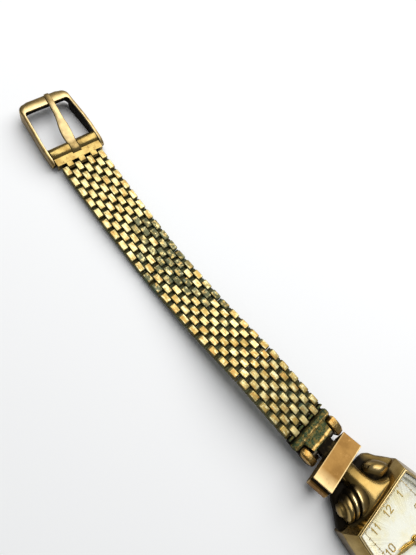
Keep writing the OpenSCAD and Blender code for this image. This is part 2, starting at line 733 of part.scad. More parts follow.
module jewels() color("#b0305a") {
    r = pivot_r + pivot_fit;
    for (p = [[0, 0], third_at, fourth_at, escape_at, balance_at])
        at(p) tube(jewel_r, r, z_train - 0.25, z_train - 0.02);
}
module screws() color(steel) {
    for (p = concat(barrel_posts, train_posts, cock_posts)) at(p) difference() {
        rod(0.34, z_bridge - 0.18, z_bridge);
        translate([-0.5, -0.05, z_bridge - 0.25]) cube([1, 0.1, 0.13]);
    }
}

// Barrel and winding

drum_r = mod_a * n_barrel / 2 - 0.14;
drum_top = z_cpin + 0.3;
module barrel() color(brass) at(barrel_at) {
    tube(drum_r, drum_r - 0.16, z_train + 0.06, drum_top);
    tube(drum_r, 0.55, z_train + 0.06, z_train + 0.16);
    translate([0, 0, drum_top - 0.25]) difference() {
        gear(n_barrel, mod_a, 0.25);
        translate([0, 0, -1]) cylinder(r = drum_r - 0.16, h = 3);
    }
    tube(drum_r - 0.1, 0.3 + pivot_fit, drum_top - 0.1, drum_top);
}
function coil(r0, r1, turns, w, n = 14) = let(k = turns * n) concat(
    [for (i = [0:k]) polar(r0 + (r1 - r0) * i / k, i * 360 / n)],
    [for (i = [k:-1:0]) polar(r0 + (r1 - r0) * i / k + w, i * 360 / n)]);
module mainspring() color(steel) at(barrel_at) {
    translate([0, 0, z_train + 0.2]) linear_extrude(drum_top - z_train - 0.35)
        polygon(coil(0.5, drum_r - 0.28, 6, 0.09));
}
module barrel_arbor() color(steel) at(barrel_at) {
    rod(0.3, z_train, z_plate + 0.5);
    rod(0.45, z_train + 0.16 + end_shake, z_train + 0.7);
    rod(0.45, z_bridge - 0.08, z_train + 0.02);
    translate([-0.25, -0.25, z_ratchet]) cube([0.5, 0.5, 0.4]);
}
module ratchet_wheel() color(steel) at(barrel_at) {
    difference() {
        translate([0, 0, z_ratchet]) gear(n_ratchet, mod_w, winding_t);
        translate([-0.26, -0.26, 0]) cube([0.52, 0.52, 3]);
    }
}
module crown_wheel() color(steel) at(crown_at) {
    translate([0, 0, z_ratchet]) gear(n_crown, mod_w, winding_t, ph_crown,
        0.4 + pivot_fit);
}
module click() color(steel) at(click_at) {
    difference() {
        translate([0, 0, z_ratchet]) linear_extrude(winding_t - 0.03)
            polygon([[-0.45, -0.3], [0.1, -0.45], [0.62, -0.12], [0.98, 0.5], [0.87, 0.5],
                [0.35, 0.3], [-0.1, 0.45], [-0.45, 0.3]]);
        rod(0.25 + pivot_fit, 0, 3);
    }
}
module click_spring() color(steel) at(click_at) {
    translate([0, 0, z_ratchet + 0.03]) linear_extrude(0.15)
        polygon([[-1.3, -1.05], [-0.9, -1.05], [0.2, -0.66], [0.2, -0.58],
            [-0.9, -0.75], [-1.3, -0.75]]);
    translate([-1.1, -0.9, 0]) rod(0.12, z_ratchet, z_bridge);
}

// Going train

module train_arbor(z1) {
    rod(pivot_r, z_train - 0.25, z1);
    rod(arbor_r, z_train + end_shake, z_plate - end_shake);
}
module spokes(r, t, z) {
    difference() {
        children();
        for (i = [0:4]) rotate(i * 72 + 20) translate([0, 0, z - 1])
            linear_extrude(t + 2) polygon([polar(r * 0.36, 12), polar(r * 0.78, 8),
                polar(r * 0.82, 22), polar(r * 0.82, 44), polar(r * 0.78, 58),
                polar(r * 0.36, 54)]);
    }
}
module centre_wheel() color(brass) {
    spokes(mod_a * n_centre / 2, wheel_t, z_centre)
        translate([0, 0, z_centre]) gear(n_centre, mod_a, wheel_t);
    translate([0, 0, z_cpin]) gear(n_leaf, mod_a, 0.4, ph_centre_pin);
    rod(pivot_r, z_train - 0.25, z_train + 0.2);
    rod(arbor_r, z_train + end_shake, z_face + 0.5);
}
module third_wheel() color(brass) at(third_at) {
    spokes(mod_b * n_third / 2, wheel_t, z_third)
        translate([0, 0, z_third]) gear(n_third, mod_b, wheel_t);
    translate([0, 0, z_centre - 0.1]) gear(n_leaf, mod_a, 0.3, ph_third_pin);
    train_arbor(z_works - 0.1);
}
module fourth_wheel() color(brass) at(fourth_at) {
    spokes(mod_c * n_fourth / 2, wheel_t, z_fourth)
        translate([0, 0, z_fourth]) gear(n_fourth, mod_c, wheel_t);
    translate([0, 0, z_train + 0.1]) gear(n_leaf, mod_b, 0.27, ph_fourth_pin);
    train_arbor(z_works - 0.1);
}
module escape_wheel() color(steel) at(escape_at) {
    translate([0, 0, z_escape]) linear_extrude(0.12) polygon([
        for (i = [0:n_escape - 1], q = [[0, 0.76], [0.1, 0.97], [0.2, 1], [0.36, 0.76]])
            polar(escape_r * q[1], (i + q[0]) * 360 / n_escape)]);
    translate([0, 0, z_fourth - 0.07]) gear(n_epin, mod_c, 0.27, ph_escape_pin);
    train_arbor(z_works - 0.1);
}
module pallet_fork() color(steel) at(pallet_at) {
    translate([0, 0, z_escape - 0.02]) linear_extrude(0.14) rotate(lever_a) {
        polygon([[-0.02, -0.16], [-0.16, -0.62], [-0.4, -0.86], [-0.6, -0.86],
            [-0.64, -0.72], [-0.46, -0.7], [-0.26, -0.5], [-0.11, -0.2], [-0.11, 0.2],
            [-0.26, 0.5], [-0.46, 0.7], [-0.64, 0.72], [-0.6, 0.86], [-0.4, 0.86],
            [-0.16, 0.62], [-0.02, 0.16], [0.75, 0.08],
            [1.05, 0.26], [1.3, 0.24], [1.3, 0.17], [1.12, 0.1], [1.12, -0.1],
            [1.3, -0.17], [1.3, -0.24], [1.05, -0.26], [0.75, -0.08]]);
    }
    rod(pivot_r, z_train + 0.52, z_works - 0.1);
    rod(arbor_r, z_train + 0.75, z_plate - end_shake);
}
module balance_wheel() color("#c9a86a") at(balance_at) {
    translate([0, 0, z_balance]) linear_extrude(0.25) {
        difference() {
            circle(balance_r);
            circle(balance_r - 0.22);
        }
        rotate(lever_a + 90) square([2 * balance_r - 0.3, 0.24], center = true);
        circle(0.32);
    }
    rod(0.36, z_balance + 0.37, z_balance + 0.48);
    rod(pivot_r, z_train - 0.25, z_works - 0.1);
    rod(arbor_r, z_train + end_shake, z_plate - end_shake);
    rotate(lever_a + 180) translate([0.29, 0, 0]) rod(0.055, z_balance + 0.4,
        z_escape + 0.13);
}
module hairspring() color("#5a6b8a") at(balance_at) {
    translate([0, 0, z_train + 0.02]) linear_extrude(0.08)
        polygon(coil(0.3, 1.1, 6, 0.035));
    translate([1.12, 0, 0]) rod(0.07, z_train - 0.02, z_train + 0.1);
}

// Motion work

module cannon_pinion() color(steel) {
    difference() {
        union() {
            translate([0, 0, z_motion + 0.02]) gear(n_cannon, mod_m, 0.24);
            rod(cannon_r, z_motion + 0.24, z_minute_hand + hand_t);
        }
        rod(arbor_r + 0.01, 0, z_face + 0.5);
    }
}
module minute_wheel() color(brass) at(minwheel_at) {
    difference() {
        union() {
            translate([0, 0, z_motion + 0.05]) gear(n_minute, mod_m, 0.15, ph_minute);
            translate([0, 0, z_motion + 0.19]) gear(n_mpin, mod_h, 0.3);
        }
        rod(arbor_r + pivot_fit, 0, z_dial);
    }
}
module hour_wheel() color(brass) {
    difference() {
        union() {
            translate([0, 0, z_works - 0.03]) gear(n_hour, mod_h, 0.16, ph_hour);
            rod(pipe_r, z_works + 0.1, z_hour_hand + hand_t);
        }
        rod(cannon_r + 0.04, z_motion, z_face + 1);
    }
}
module setting_wheel() color(steel) at(setting_at) {
    translate([0, 0, z_plate + 0.2]) gear(n_setting, mod_m, z_motion + 0.2 - z_plate - 0.2,
        ph_setting, arbor_r + pivot_fit);
}

// Stem and keyless work: all on the stem's line

module on_stem() {
    translate([0, 0, stem_z]) rotate([0, 90, 0]) children();
}
module winding_pinion() color(steel) on_stem() {
    translate([0, 0, wind_x]) gear(n_wind, mod_w, wind_l, 180 / n_wind, stem_r + pivot_fit);
}
module sliding_pinion() color(steel) on_stem() {
    difference() {
        union() {
            translate([0, 0, slide_x]) gear(n_setting, 0.105, 0.12);
            rod(0.5, slide_x, wind_x - 0.03);
            rod(0.85, slide_x + 0.44, wind_x - 0.03);
        }
        translate([-0.2, -0.2, 0]) cube([0.4, 0.4, 9]);
    }
}
stem_out = case_mid_w / 2 + 0.4;
groove_w = 0.34;
module winding_stem() color(steel) on_stem() {
    rod(stem_r / 2, block_x + 0.1, slide_x - 0.25);
    translate([-0.18, -0.18, slide_x - 0.3]) cube([0.36, 0.36, wind_x - slide_x + 0.3]);
    rod(stem_r, wind_x, lever_x - groove_w / 2);
    rod(stem_r / 2, lever_x - groove_w / 2 - eps, lever_x + groove_w / 2 + eps);
    rod(stem_r, lever_x + groove_w / 2, stem_out + 1);
}
module crown() color(gold) on_stem() {
    x0 = stem_out + 0.05;
    difference() {
        union() {
            translate([0, 0, x0]) linear_extrude(crown_l - 0.3)
                polygon([for (i = [0:crown_ridges - 1],
                    q = [[-0.3, 0.95], [-0.15, 1], [0.15, 1], [0.3, 0.95]])
                    polar(crown_r * q[1], (i + q[0]) * 360 / crown_ridges)]);
            translate([0, 0, x0]) rotate_extrude() polygon([[0, 0], [crown_r * 0.93, 0],
                [crown_r * 0.93, crown_l - 0.3], [crown_r * 0.8, crown_l - 0.08],
                [crown_r * 0.4, crown_l], [0, crown_l]]);
        }
        rod(0.86, x0 - 1, x0 + 0.25);
        rod(stem_r, 0, stem_out + 1);
    }
}
z_lever = stem_z + stem_r + 0.12;
module setting_lever() color(steel) {
    translate([lever_x, -lever_l, 0]) difference() {
        union() {
            translate([0, 0, z_lever]) linear_extrude(0.18) polygon([[-0.35, -0.35],
                [0.35, -0.35], [0.42, 0.1], [0.22, lever_l + 0.2], [-0.22, lever_l + 0.2],
                [-0.42, 0.1]]);
            translate([0, lever_l, 0]) rod(0.12, stem_z + stem_r / 2 + 0.04,
                z_lever + 0.1);
        }
        rod(0.14 + pivot_fit, 0, 9);
    }
}
module yoke() color(steel) {
    translate([yoke_x, yoke_l, 0]) difference() {
        translate([0, 0, stem_z - 0.1]) linear_extrude(0.2) polygon([[-0.3, 0.3],
            [-0.32, -0.1], [-0.07, -0.5], [-0.07, -yoke_l + 0.56], [0.07, -yoke_l + 0.56],
            [0.09, -0.5], [0.32, -0.1], [0.3, 0.3]]);
        rod(0.14 + pivot_fit, 0, 9);
    }
}

// Strap

// Bricks between pins k and k + 1 in the columns of one parity.
module brick_row(k, parity) {
    s = brick_slope;
    y0 = k * half_pitch - over;
    y1 = y0 + brick_l;
    t = brick_t / 2;
    for (c = [1:cols]) if (c % 2 == parity) let(x = (c - (cols + 1) / 2) * col_pitch)
        side([[y0, s / 2 - t], [y0, t - s], [y0 + s, t], [y1 - s, t], [y1, t - s],
            [y1, s / 2 - t], [y1 - s / 2, -t], [y0 + s / 2, -t]],
            x - brick_w / 2, x + brick_w / 2);
}
module cross_pin(y) {
    translate([0, y, 0]) along_x(pin_r, -pin_l / 2, pin_l / 2);
}
module section(h, e) {
    difference() {
        piece(h, e) {
            for (k = [0:2:section_pins - 2]) brick_row(k, 0);
            for (k = [1:2:section_pins - 1]) brick_row(k, 1);
            for (k = [1:section_pins]) cross_pin(k * half_pitch);
        }
        hinge_line(h, e) along_x(pin_r + hinge_fit, -5, 5);
    }
}
module end_link(h) {
    y0 = cheek_l + cheek_gap;
    y1 = end_len - swing;
    difference() {
        union() {
            piece(h, 0) {
                side([[y0, -bar_t / 2], [y0, bar_t / 2 - 0.15], [y0 + 0.2, bar_t / 2],
                    [y1 - 0.3, bar_t / 2], [y1, brick_t / 2], [y1, -brick_t / 2],
                    [y1 - 0.3, -bar_t / 2]], -cheek_w, cheek_w);
                side([[knuckle_r + 0.2, -bar_t / 2 + 0.2], [knuckle_r + 0.2, bar_t / 2 - 0.3],
                    [knuckle_r + 0.5, bar_t / 2], [y0 + eps, bar_t / 2],
                    [y0 + eps, -bar_t / 2 + 0.2]], cheek_gap - cheek_in, cheek_in - cheek_gap);
                for (s = [-1, 1]) {
                    side([[0, -0.9], [0, knuckle_r], [0.9, knuckle_r], [cheek_l - 0.35, 0.9],
                        [cheek_l, 0.5], [cheek_l, -0.6], [cheek_l - 0.3, -0.9]],
                        s > 0 ? cheek_in : -cheek_w, s > 0 ? cheek_w : -cheek_in);
                    side([[cheek_l - 0.3, -0.55], [cheek_l - 0.3, 0.05], [y0 + eps, 0.05],
                        [y0 + eps, -0.55]], s > 0 ? cheek_in : -cheek_w,
                        s > 0 ? cheek_w : -cheek_in);
                }
                translate([0, end_len, 0]) intersection() {
                    brick_row(-1, 1);
                    translate([-5, -swing - 0.1, -1]) cube([10, 3, 2]);
                }
                cross_pin(end_len);
            }
            end_of(h) translate([0, lug_y, lug_z]) for (s = [-1, 1])
                along_x(knuckle_r, s > 0 ? cheek_in : -cheek_w, s > 0 ? cheek_w : -cheek_in);
        }
        end_of(h) translate([0, lug_y, lug_z]) along_x(lug_pin_r + hinge_fit, -5, 5);
    }
}
module plate_teeth() {
    intersection() {
        brick_row(0, 0);
        translate([-5, -1, -1]) cube([10, plate_start + 1.1, 2]);
    }
}
module buckle_plate() color(gold) {
    y1 = plate_start + buckle_plate_l;
    inner = tang_w + tang_fit;
    difference() {
        piece(12, 6) {
            plate_teeth();
            translate([-buckle_plate_w, plate_start, -buckle_plate_t / 2])
                cube([2 * buckle_plate_w, buckle_plate_l, buckle_plate_t]);
            for (s = [-1, 1]) translate([s > 0 ? inner : -buckle_plate_w, 0, 0]) {
                translate([0, y1 - eps, -buckle_plate_t / 2])
                    cube([buckle_plate_w - inner, buckle_pin_y - y1, buckle_plate_t]);
                translate([0, buckle_pin_y, 0]) along_x(barrel_r, 0,
                    buckle_plate_w - inner);
            }
        }
        hinge_line(12, 6) along_x(pin_r + hinge_fit, -5, 5);
        piece(12, 6) translate([0, buckle_pin_y, 0]) {
            along_x(buckle_pin_r, -6, 6);
            along_x(tang_loop_r + tang_fit, -inner, inner);
        }
    }
}
module at_buckle() {
    piece(12, 6) translate([0, buckle_pin_y, 0]) children();
}
module buckle_pin() color(gold) at_buckle() {
    along_x(buckle_pin_r, -frame_in_w - frame_wall + 0.08, frame_in_w + frame_wall - 0.08);
}
frame_top = frame_h - frame_below;
bar_z = frame_top - far_bar_t;
notch_d = tang_t - 0.1;
function lean_at(y) = tang_lean * y / frame_in_l;
module buckle_frame() color(worn) at_buckle() {
    far = frame_in_l + far_bar_w;
    b = frame_below;
    difference() {
        intersection() {
            slab([[-frame_in_w - frame_wall, -arm_back], [-frame_in_w - frame_wall, 2],
                [-frame_far_w - frame_wall, far - 1.5], [-frame_far_w - frame_wall + 0.3, far - 0.6],
                [-frame_far_w + 0.2, far - 0.12], [-1.6, far + 0.18], [1.6, far + 0.18],
                [frame_far_w - 0.2, far - 0.12], [frame_far_w + frame_wall - 0.3, far - 0.6],
                [frame_far_w + frame_wall, far - 1.5], [frame_in_w + frame_wall, 2],
                [frame_in_w + frame_wall, -arm_back]], -b - 1, frame_top + 1);
            side([[-arm_back, -0.55], [-arm_back + 0.25, -0.95], [-arm_back + 0.8, -b],
                [far - 1.6, -b], [far - 0.5, -b + 0.5], [far + 0.3, bar_z],
                [far + 0.3, frame_top - 0.45], [far - 0.4, frame_top - 0.1],
                [far - 1.6, frame_top], [4, frame_top - 0.05], [1, frame_top - 0.5],
                [-arm_back + 0.8, 0.95], [-arm_back + 0.25, 0.6], [-arm_back, 0.2]], -6, 6);
        }
        slab([[-frame_in_w, -arm_back - 1], [-frame_in_w, 2],
            [-frame_far_w, frame_in_l - 0.5], [-frame_far_w + 0.3, frame_in_l],
            [frame_far_w - 0.3, frame_in_l], [frame_far_w, frame_in_l - 0.5],
            [frame_in_w, 2], [frame_in_w, -arm_back - 1]], -b - 2, frame_top + 2);
        slab([[-frame_far_w, frame_in_l - 1], [-frame_far_w, far - 0.9],
            [-frame_far_w + 0.6, far - 0.5], [frame_far_w - 0.6, far - 0.5],
            [frame_far_w, far - 0.9], [frame_far_w, frame_in_l - 1]], -b - 2, bar_z);
        slab([[lean_at(frame_in_l) - 0.68, frame_in_l - 0.1],
            [lean_at(far) - 0.66, far + 1], [lean_at(far) + 0.66, far + 1],
            [lean_at(frame_in_l) + 0.68, frame_in_l - 0.1]],
            frame_top - notch_d, frame_top + 1);
        along_x(buckle_pin_r + hinge_fit, -6, 6);
    }
}
module buckle_tang() color(gold) at_buckle() {
    far = frame_in_l + far_bar_w;
    zt = frame_top - notch_d + tang_fit;
    difference() {
        union() {
            intersection() {
                side([[0, -0.2], [0, tang_loop_r], [1.4, tang_loop_r + 0.2],
                    [4, zt + tang_t + 0.12], [6.4, zt + tang_t + 0.08],
                    [far - 0.4, zt + tang_t - 0.05], [far - 0.05, zt + 0.25],
                    [far - 0.1, zt], [frame_in_l - 0.6, zt],
                    [4.2, zt - 0.05], [1.6, 0.45], [0.9, -0.2]], -2, 2);
                slab([[-tang_w, -1], [-tang_w, 1.2], [lean_at(4) - 0.56, 4],
                    [lean_at(6) - 0.5, 6.4], [lean_at(far) - tang_tip_w, far - 0.5],
                    [lean_at(far) - 0.25, far], [lean_at(far) + 0.25, far],
                    [lean_at(far) + tang_tip_w, far - 0.5], [lean_at(6) + 0.62, 6.4],
                    [lean_at(4) + 0.74, 4], [tang_w, 1.2], [tang_w, -1]], -3, 3);
            }
            along_x(tang_loop_r, -tang_w, tang_w);
        }
        along_x(buckle_pin_r + hinge_fit, -2, 2);
    }
}
module strap_tip() color(gold) {
    w = pin_l / 2;
    y0 = plate_start;
    difference() {
        piece(6, 6) {
            plate_teeth();
            slab([[-w, y0], [-w, y0 + tip_l - 1.6], [-w + 0.7, y0 + tip_l - 0.5],
                [-w + 2, y0 + tip_l], [w - 2, y0 + tip_l], [w - 0.7, y0 + tip_l - 0.5],
                [w, y0 + tip_l - 1.6], [w, y0]], -brick_t / 2, brick_t / 2);
        }
        hinge_line(6, 6) along_x(pin_r + hinge_fit, -5, 5);
    }
}
module end_link_12() color(worn) end_link(12);
module end_link_6() color(worn) end_link(6);
module strap_1() color(gold) section(12, 1);
module strap_2() color(gold) section(12, 2);
module strap_3() color(gold) section(12, 3);
module strap_4() color(gold) section(12, 4);
module strap_5() color(gold) section(12, 5);
module strap_6() color(gold) section(6, 1);
module strap_7() color(gold) section(6, 2);
module strap_8() color(gold) section(6, 3);
module strap_9() color(gold) section(6, 4);
module strap_10() color(gold) section(6, 5);

case_body();
case_back();
crystal();
dial();
dial_numerals();
lug_pins();
main_plate();
barrel_bridge();
train_bridge();
balance_cock();
pallet_bridge();
jewels();
screws();
barrel();
mainspring();
barrel_arbor();
ratchet_wheel();
crown_wheel();
click();
click_spring();
centre_wheel();
third_wheel();
fourth_wheel();
escape_wheel();
pallet_fork();
balance_wheel();
hairspring();
cannon_pinion();
minute_wheel();
hour_wheel();
setting_wheel();
winding_pinion();
sliding_pinion();
setting_lever();
yoke();
winding_stem();
crown();
hour_hand();
minute_hand();
end_link_12();
strap_1();
strap_2();
strap_3();
strap_4();
strap_5();
buckle_plate();
buckle_pin();
buckle_frame();
buckle_tang();
keeper();
end_link_6();
strap_6();
strap_7();
strap_8();
strap_9();
strap_10();
strap_tip();
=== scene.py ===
import json
import math
import random

import bmesh
import bpy
from mathutils import Matrix, Vector, noise


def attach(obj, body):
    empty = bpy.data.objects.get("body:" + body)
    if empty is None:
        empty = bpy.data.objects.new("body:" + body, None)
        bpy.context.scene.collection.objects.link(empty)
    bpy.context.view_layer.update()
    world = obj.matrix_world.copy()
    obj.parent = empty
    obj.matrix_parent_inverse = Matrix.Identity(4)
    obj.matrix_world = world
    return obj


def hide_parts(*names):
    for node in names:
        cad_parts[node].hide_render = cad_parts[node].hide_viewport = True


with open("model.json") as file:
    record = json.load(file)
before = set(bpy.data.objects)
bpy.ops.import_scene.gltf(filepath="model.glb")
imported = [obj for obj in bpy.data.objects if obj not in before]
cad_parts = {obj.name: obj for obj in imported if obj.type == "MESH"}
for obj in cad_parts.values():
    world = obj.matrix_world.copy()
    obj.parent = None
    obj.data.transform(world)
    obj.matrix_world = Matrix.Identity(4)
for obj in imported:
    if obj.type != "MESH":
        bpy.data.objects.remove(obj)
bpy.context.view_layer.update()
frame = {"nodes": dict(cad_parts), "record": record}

# A vintage wristwatch on a brick-link bracelet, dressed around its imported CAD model

MM = 0.001
NODES = frame["nodes"]
scene = bpy.context.scene
random.seed(7)


# Camera and light
# The camera's place is in millimetres; it was fitted to brick corners seen in the photograph

CAMERA_AT = (-21.79, 43.75, 71.36)
CAMERA_RIGHT = (0.6946, -0.6868, 0.2142)
CAMERA_UP = (0.6185, 0.7222, 0.3097)
FOCAL_PIXELS = 448.5
PHOTO_HEIGHT = 555
SENSOR = 36
WORLD_COLOR = (0.95, 0.98, 1, 1)
WORLD_STRENGTH = 0.19
LAMP_AT = (0.16, 0.11, 0.23)
LAMP_AIM = (0.03, 0.09, 0)
LAMP_SIZE = 0.40
LAMP_WATTS = 1.33
FLOOR_REACH = 1.5
CLIP_NEAR = 0.001
CLIP_FAR = 10


def make_camera():
    data = bpy.data.cameras.new("camera")
    cam = bpy.data.objects.new("camera", data)
    scene.collection.objects.link(cam)
    right = Vector(CAMERA_RIGHT)
    up = Vector(CAMERA_UP)
    back = right.cross(up)
    m = Matrix((right, up, back)).transposed().to_4x4()
    m.translation = Vector(CAMERA_AT) * MM
    cam.matrix_world = m
    data.sensor_width = SENSOR
    data.lens = FOCAL_PIXELS / PHOTO_HEIGHT * SENSOR
    data.clip_start = CLIP_NEAR
    data.clip_end = CLIP_FAR
    scene.camera = cam


def make_lamp():
    data = bpy.data.lights.new("key", "AREA")
    data.energy = LAMP_WATTS
    data.size = LAMP_SIZE
    lamp = bpy.data.objects.new("key", data)
    scene.collection.objects.link(lamp)
    lamp.location = LAMP_AT
    back = Vector(LAMP_AT) - Vector(LAMP_AIM)
    lamp.rotation_euler = back.to_track_quat("Z", "Y").to_euler()


def make_world():
    world = bpy.data.worlds.new("world")
    scene.world = world
    world.use_nodes = True
    bg = world.node_tree.nodes["Background"]
    bg.inputs["Color"].default_value = WORLD_COLOR
    bg.inputs["Strength"].default_value = WORLD_STRENGTH


def make_floor():
    mesh = bpy.data.meshes.new("floor")
    r = FLOOR_REACH
    mesh.from_pydata([(-r, -r, 0), (r, -r, 0), (r, r, 0), (-r, r, 0)], [], [(0, 1, 2, 3)])
    floor = bpy.data.objects.new("floor", mesh)
    scene.collection.objects.link(floor)
    mesh.materials.append(floor_paint())


# Material building

SPECULAR = 0.08
AO_SAMPLES = 8
# The Mix node's colour sockets: its two inputs and its output
MIX_A, MIX_B, MIX_OUT = 6, 7, 2


class Graph:
    """A material's node tree; patterns are laid in object space, in metres."""

    def __init__(self, name):
        self.m = bpy.data.materials.new(name)
        self.m.use_nodes = True
        self.nt = self.m.node_tree
        self.nt.nodes.clear()
        self.coord = self.new("ShaderNodeTexCoord").outputs["Object"]

    def new(self, kind, **props):
        n = self.nt.nodes.new(kind)
        for k, v in props.items():
            setattr(n, k, v)
        return n

    def put(self, socket, v):
        """Links v into the socket, or sets it there when it is a plain value."""
        if isinstance(v, bpy.types.NodeSocket):
            self.nt.links.new(v, socket)
        elif isinstance(v, tuple) and len(v) == 3 and socket.type == "RGBA":
            socket.default_value = (*v, 1)
        else:
            socket.default_value = v

    def noise(self, scale, detail, rough, stretch=None, turned=0.0):
        v = self.coord
        if stretch:
            mp = self.new("ShaderNodeMapping")
            mp.inputs["Scale"].default_value = stretch
            mp.inputs["Rotation"].default_value = (0, 0, turned)
            self.put(mp.inputs["Vector"], v)
            v = mp.outputs[0]
        n = self.new("ShaderNodeTexNoise")
        self.put(n.inputs["Vector"], v)
        n.inputs["Scale"].default_value = scale
        n.inputs["Detail"].default_value = detail
        n.inputs["Roughness"].default_value = rough
        return n.outputs["Fac"]

    def math(self, op, a, b, clamp=False):
        n = self.new("ShaderNodeMath", operation=op, use_clamp=clamp)
        self.put(n.inputs[0], a)
        self.put(n.inputs[1], b)
        return n.outputs[0]

    def add(self, a, b, clamp=False):
        return self.math("ADD", a, b, clamp)

    def times(self, a, b, clamp=False):
        return self.math("MULTIPLY", a, b, clamp)

    def larger(self, a, b, clamp=False):
        return self.math("MAXIMUM", a, b, clamp)

    def step(self, v, lo, hi, a=0.0, b=1.0):
        """Goes smoothly from a to b while v goes from lo to hi."""
        n = self.new("ShaderNodeMapRange", interpolation_type="SMOOTHSTEP")
        self.put(n.inputs["Value"], v)
        for k, x in zip(("From Min", "From Max", "To Min", "To Max"), (lo, hi, a, b)):
            self.put(n.inputs[k], x)
        return n.outputs[0]

    def mix(self, fac, a, b):
        n = self.new("ShaderNodeMix", data_type="RGBA")
        self.put(n.inputs[0], fac)
        self.put(n.inputs[MIX_A], a)
        self.put(n.inputs[MIX_B], b)
        return n.outputs[MIX_OUT]

    def ao(self, dist):
        n = self.new("ShaderNodeAmbientOcclusion", samples=AO_SAMPLES)
        n.inputs["Distance"].default_value = dist
        return n.outputs["AO"]

    def wear_and_light(self):
        """The three values that Build keeps at each vertex, for marks of use and for painted
        highlight and shade.
        """
        a = self.new("ShaderNodeAttribute", attribute_name="wear_and_light")
        s = self.new("ShaderNodeSeparateColor")
        self.put(s.inputs[0], a.outputs["Color"])
        return s.outputs

    def bump(self, height, dist, strength=1.0, normal=None):
        b = self.new("ShaderNodeBump")
        b.inputs["Strength"].default_value = strength
        b.inputs["Distance"].default_value = dist
        self.put(b.inputs["Height"], height)
        if normal is not None:
            self.put(b.inputs["Normal"], normal)
        return b.outputs[0]

    def output(self, shader):
        out = self.new("ShaderNodeOutputMaterial")
        self.nt.links.new(shader.outputs[0], out.inputs[0])
        return self.m

    def finish(self, **sockets):
        p = self.new("ShaderNodeBsdfPrincipled")
        p.inputs["Specular IOR Level"].default_value = SPECULAR
        for k, v in sockets.items():
            self.put(p.inputs[k.replace("_", " ")], v)
        return self.output(p)


# Materials; colours are linear

# Near black, for soiling and for painted shade in creases, hollows and undersides
GRIME_AND_SHADE = (0.007, 0.0045, 0.0015)
# Bright gold, for rubbed edges and for painted highlights
RUBBED_AND_LIT = (0.90, 0.70, 0.36)
# Brown film, which the meshes also use as painted shade on the case's sides and in grooves
BROWN_FILM_AND_SHADE = (0.090, 0.052, 0.012)


def metal(name, bright, dull, grime_and_shade=GRIME_AND_SHADE, rough=(0.22, 0.42), cell=0.0016, brush=None,
          bump=4e-6, crease=0.0005, depth=0.55, spots=None, painted=False,
          rub_and_highlight=RUBBED_AND_LIT, tint_and_shade=BROWN_FILM_AND_SHADE):
    """Worn metal: patches of two tones, creases darkened by soiling and painted shade, brushing and
    small dents.
    """
    # The patches are about three times cell metres wide, and brush is a stretch and a turn
    # A painted metal shows its mesh's three values as rub with painted highlight, tint with painted
    # shade, and grime with painted shade
    g = Graph(name)
    patch = g.noise(0.35 / cell, 5, 0.6)
    fine = g.noise(4 / cell, 3, 0.6)
    tone = g.step(g.add(g.times(patch, 0.75), g.times(fine, 0.25)), 0.38, 0.64)
    color = g.mix(tone, bright, dull)
    if spots:
        color = g.mix(g.step(g.noise(1.1 / cell, 4, 0.7), 0.57, 0.70), color, spots)
    # Creases that ambient occlusion finds turn dark: soiling, and painted shade
    open_air = g.add(g.ao(crease), g.times(fine, 0.3))
    dirt_and_shade = g.step(open_air, depth, depth + 0.45, 1.0, 0.0)
    r = g.step(patch, 0.3, 0.7, *rough)
    height = g.add(fine, g.times(patch, 2.0))
    if painted:
        rubbed_and_lit, tinted_and_shaded, dark = g.wear_and_light()
        # Rubbed places and painted highlights turn bright
        color = g.mix(g.times(rubbed_and_lit, g.step(fine, 0.2, 0.5, 0.6, 1.0)), color, rub_and_highlight)
        # Tinted places turn brown: film, and painted shade
        color = g.mix(g.times(tinted_and_shaded, g.step(patch, 0.3, 0.6, 0.5, 1.0)), color, tint_and_shade)
        dirt_and_shade = g.larger(dirt_and_shade, g.times(dark, g.step(fine, 0.25, 0.7, 1.2, 0.98)), True)
    color = g.mix(dirt_and_shade, color, grime_and_shade)
    n = g.bump(height, bump)
    if brush:
        line = g.noise(1 / cell, 2, 0.5, *brush)
        r = g.add(r, g.times(line, 0.12))
        n = g.bump(line, bump, 0.8, n)
    return g.finish(Base_Color=color, Metallic=g.step(dirt_and_shade, 0.2, 1.0, 1.0, 0.2),
                    Roughness=g.add(r, g.times(dirt_and_shade, 0.35), True), Normal=n)


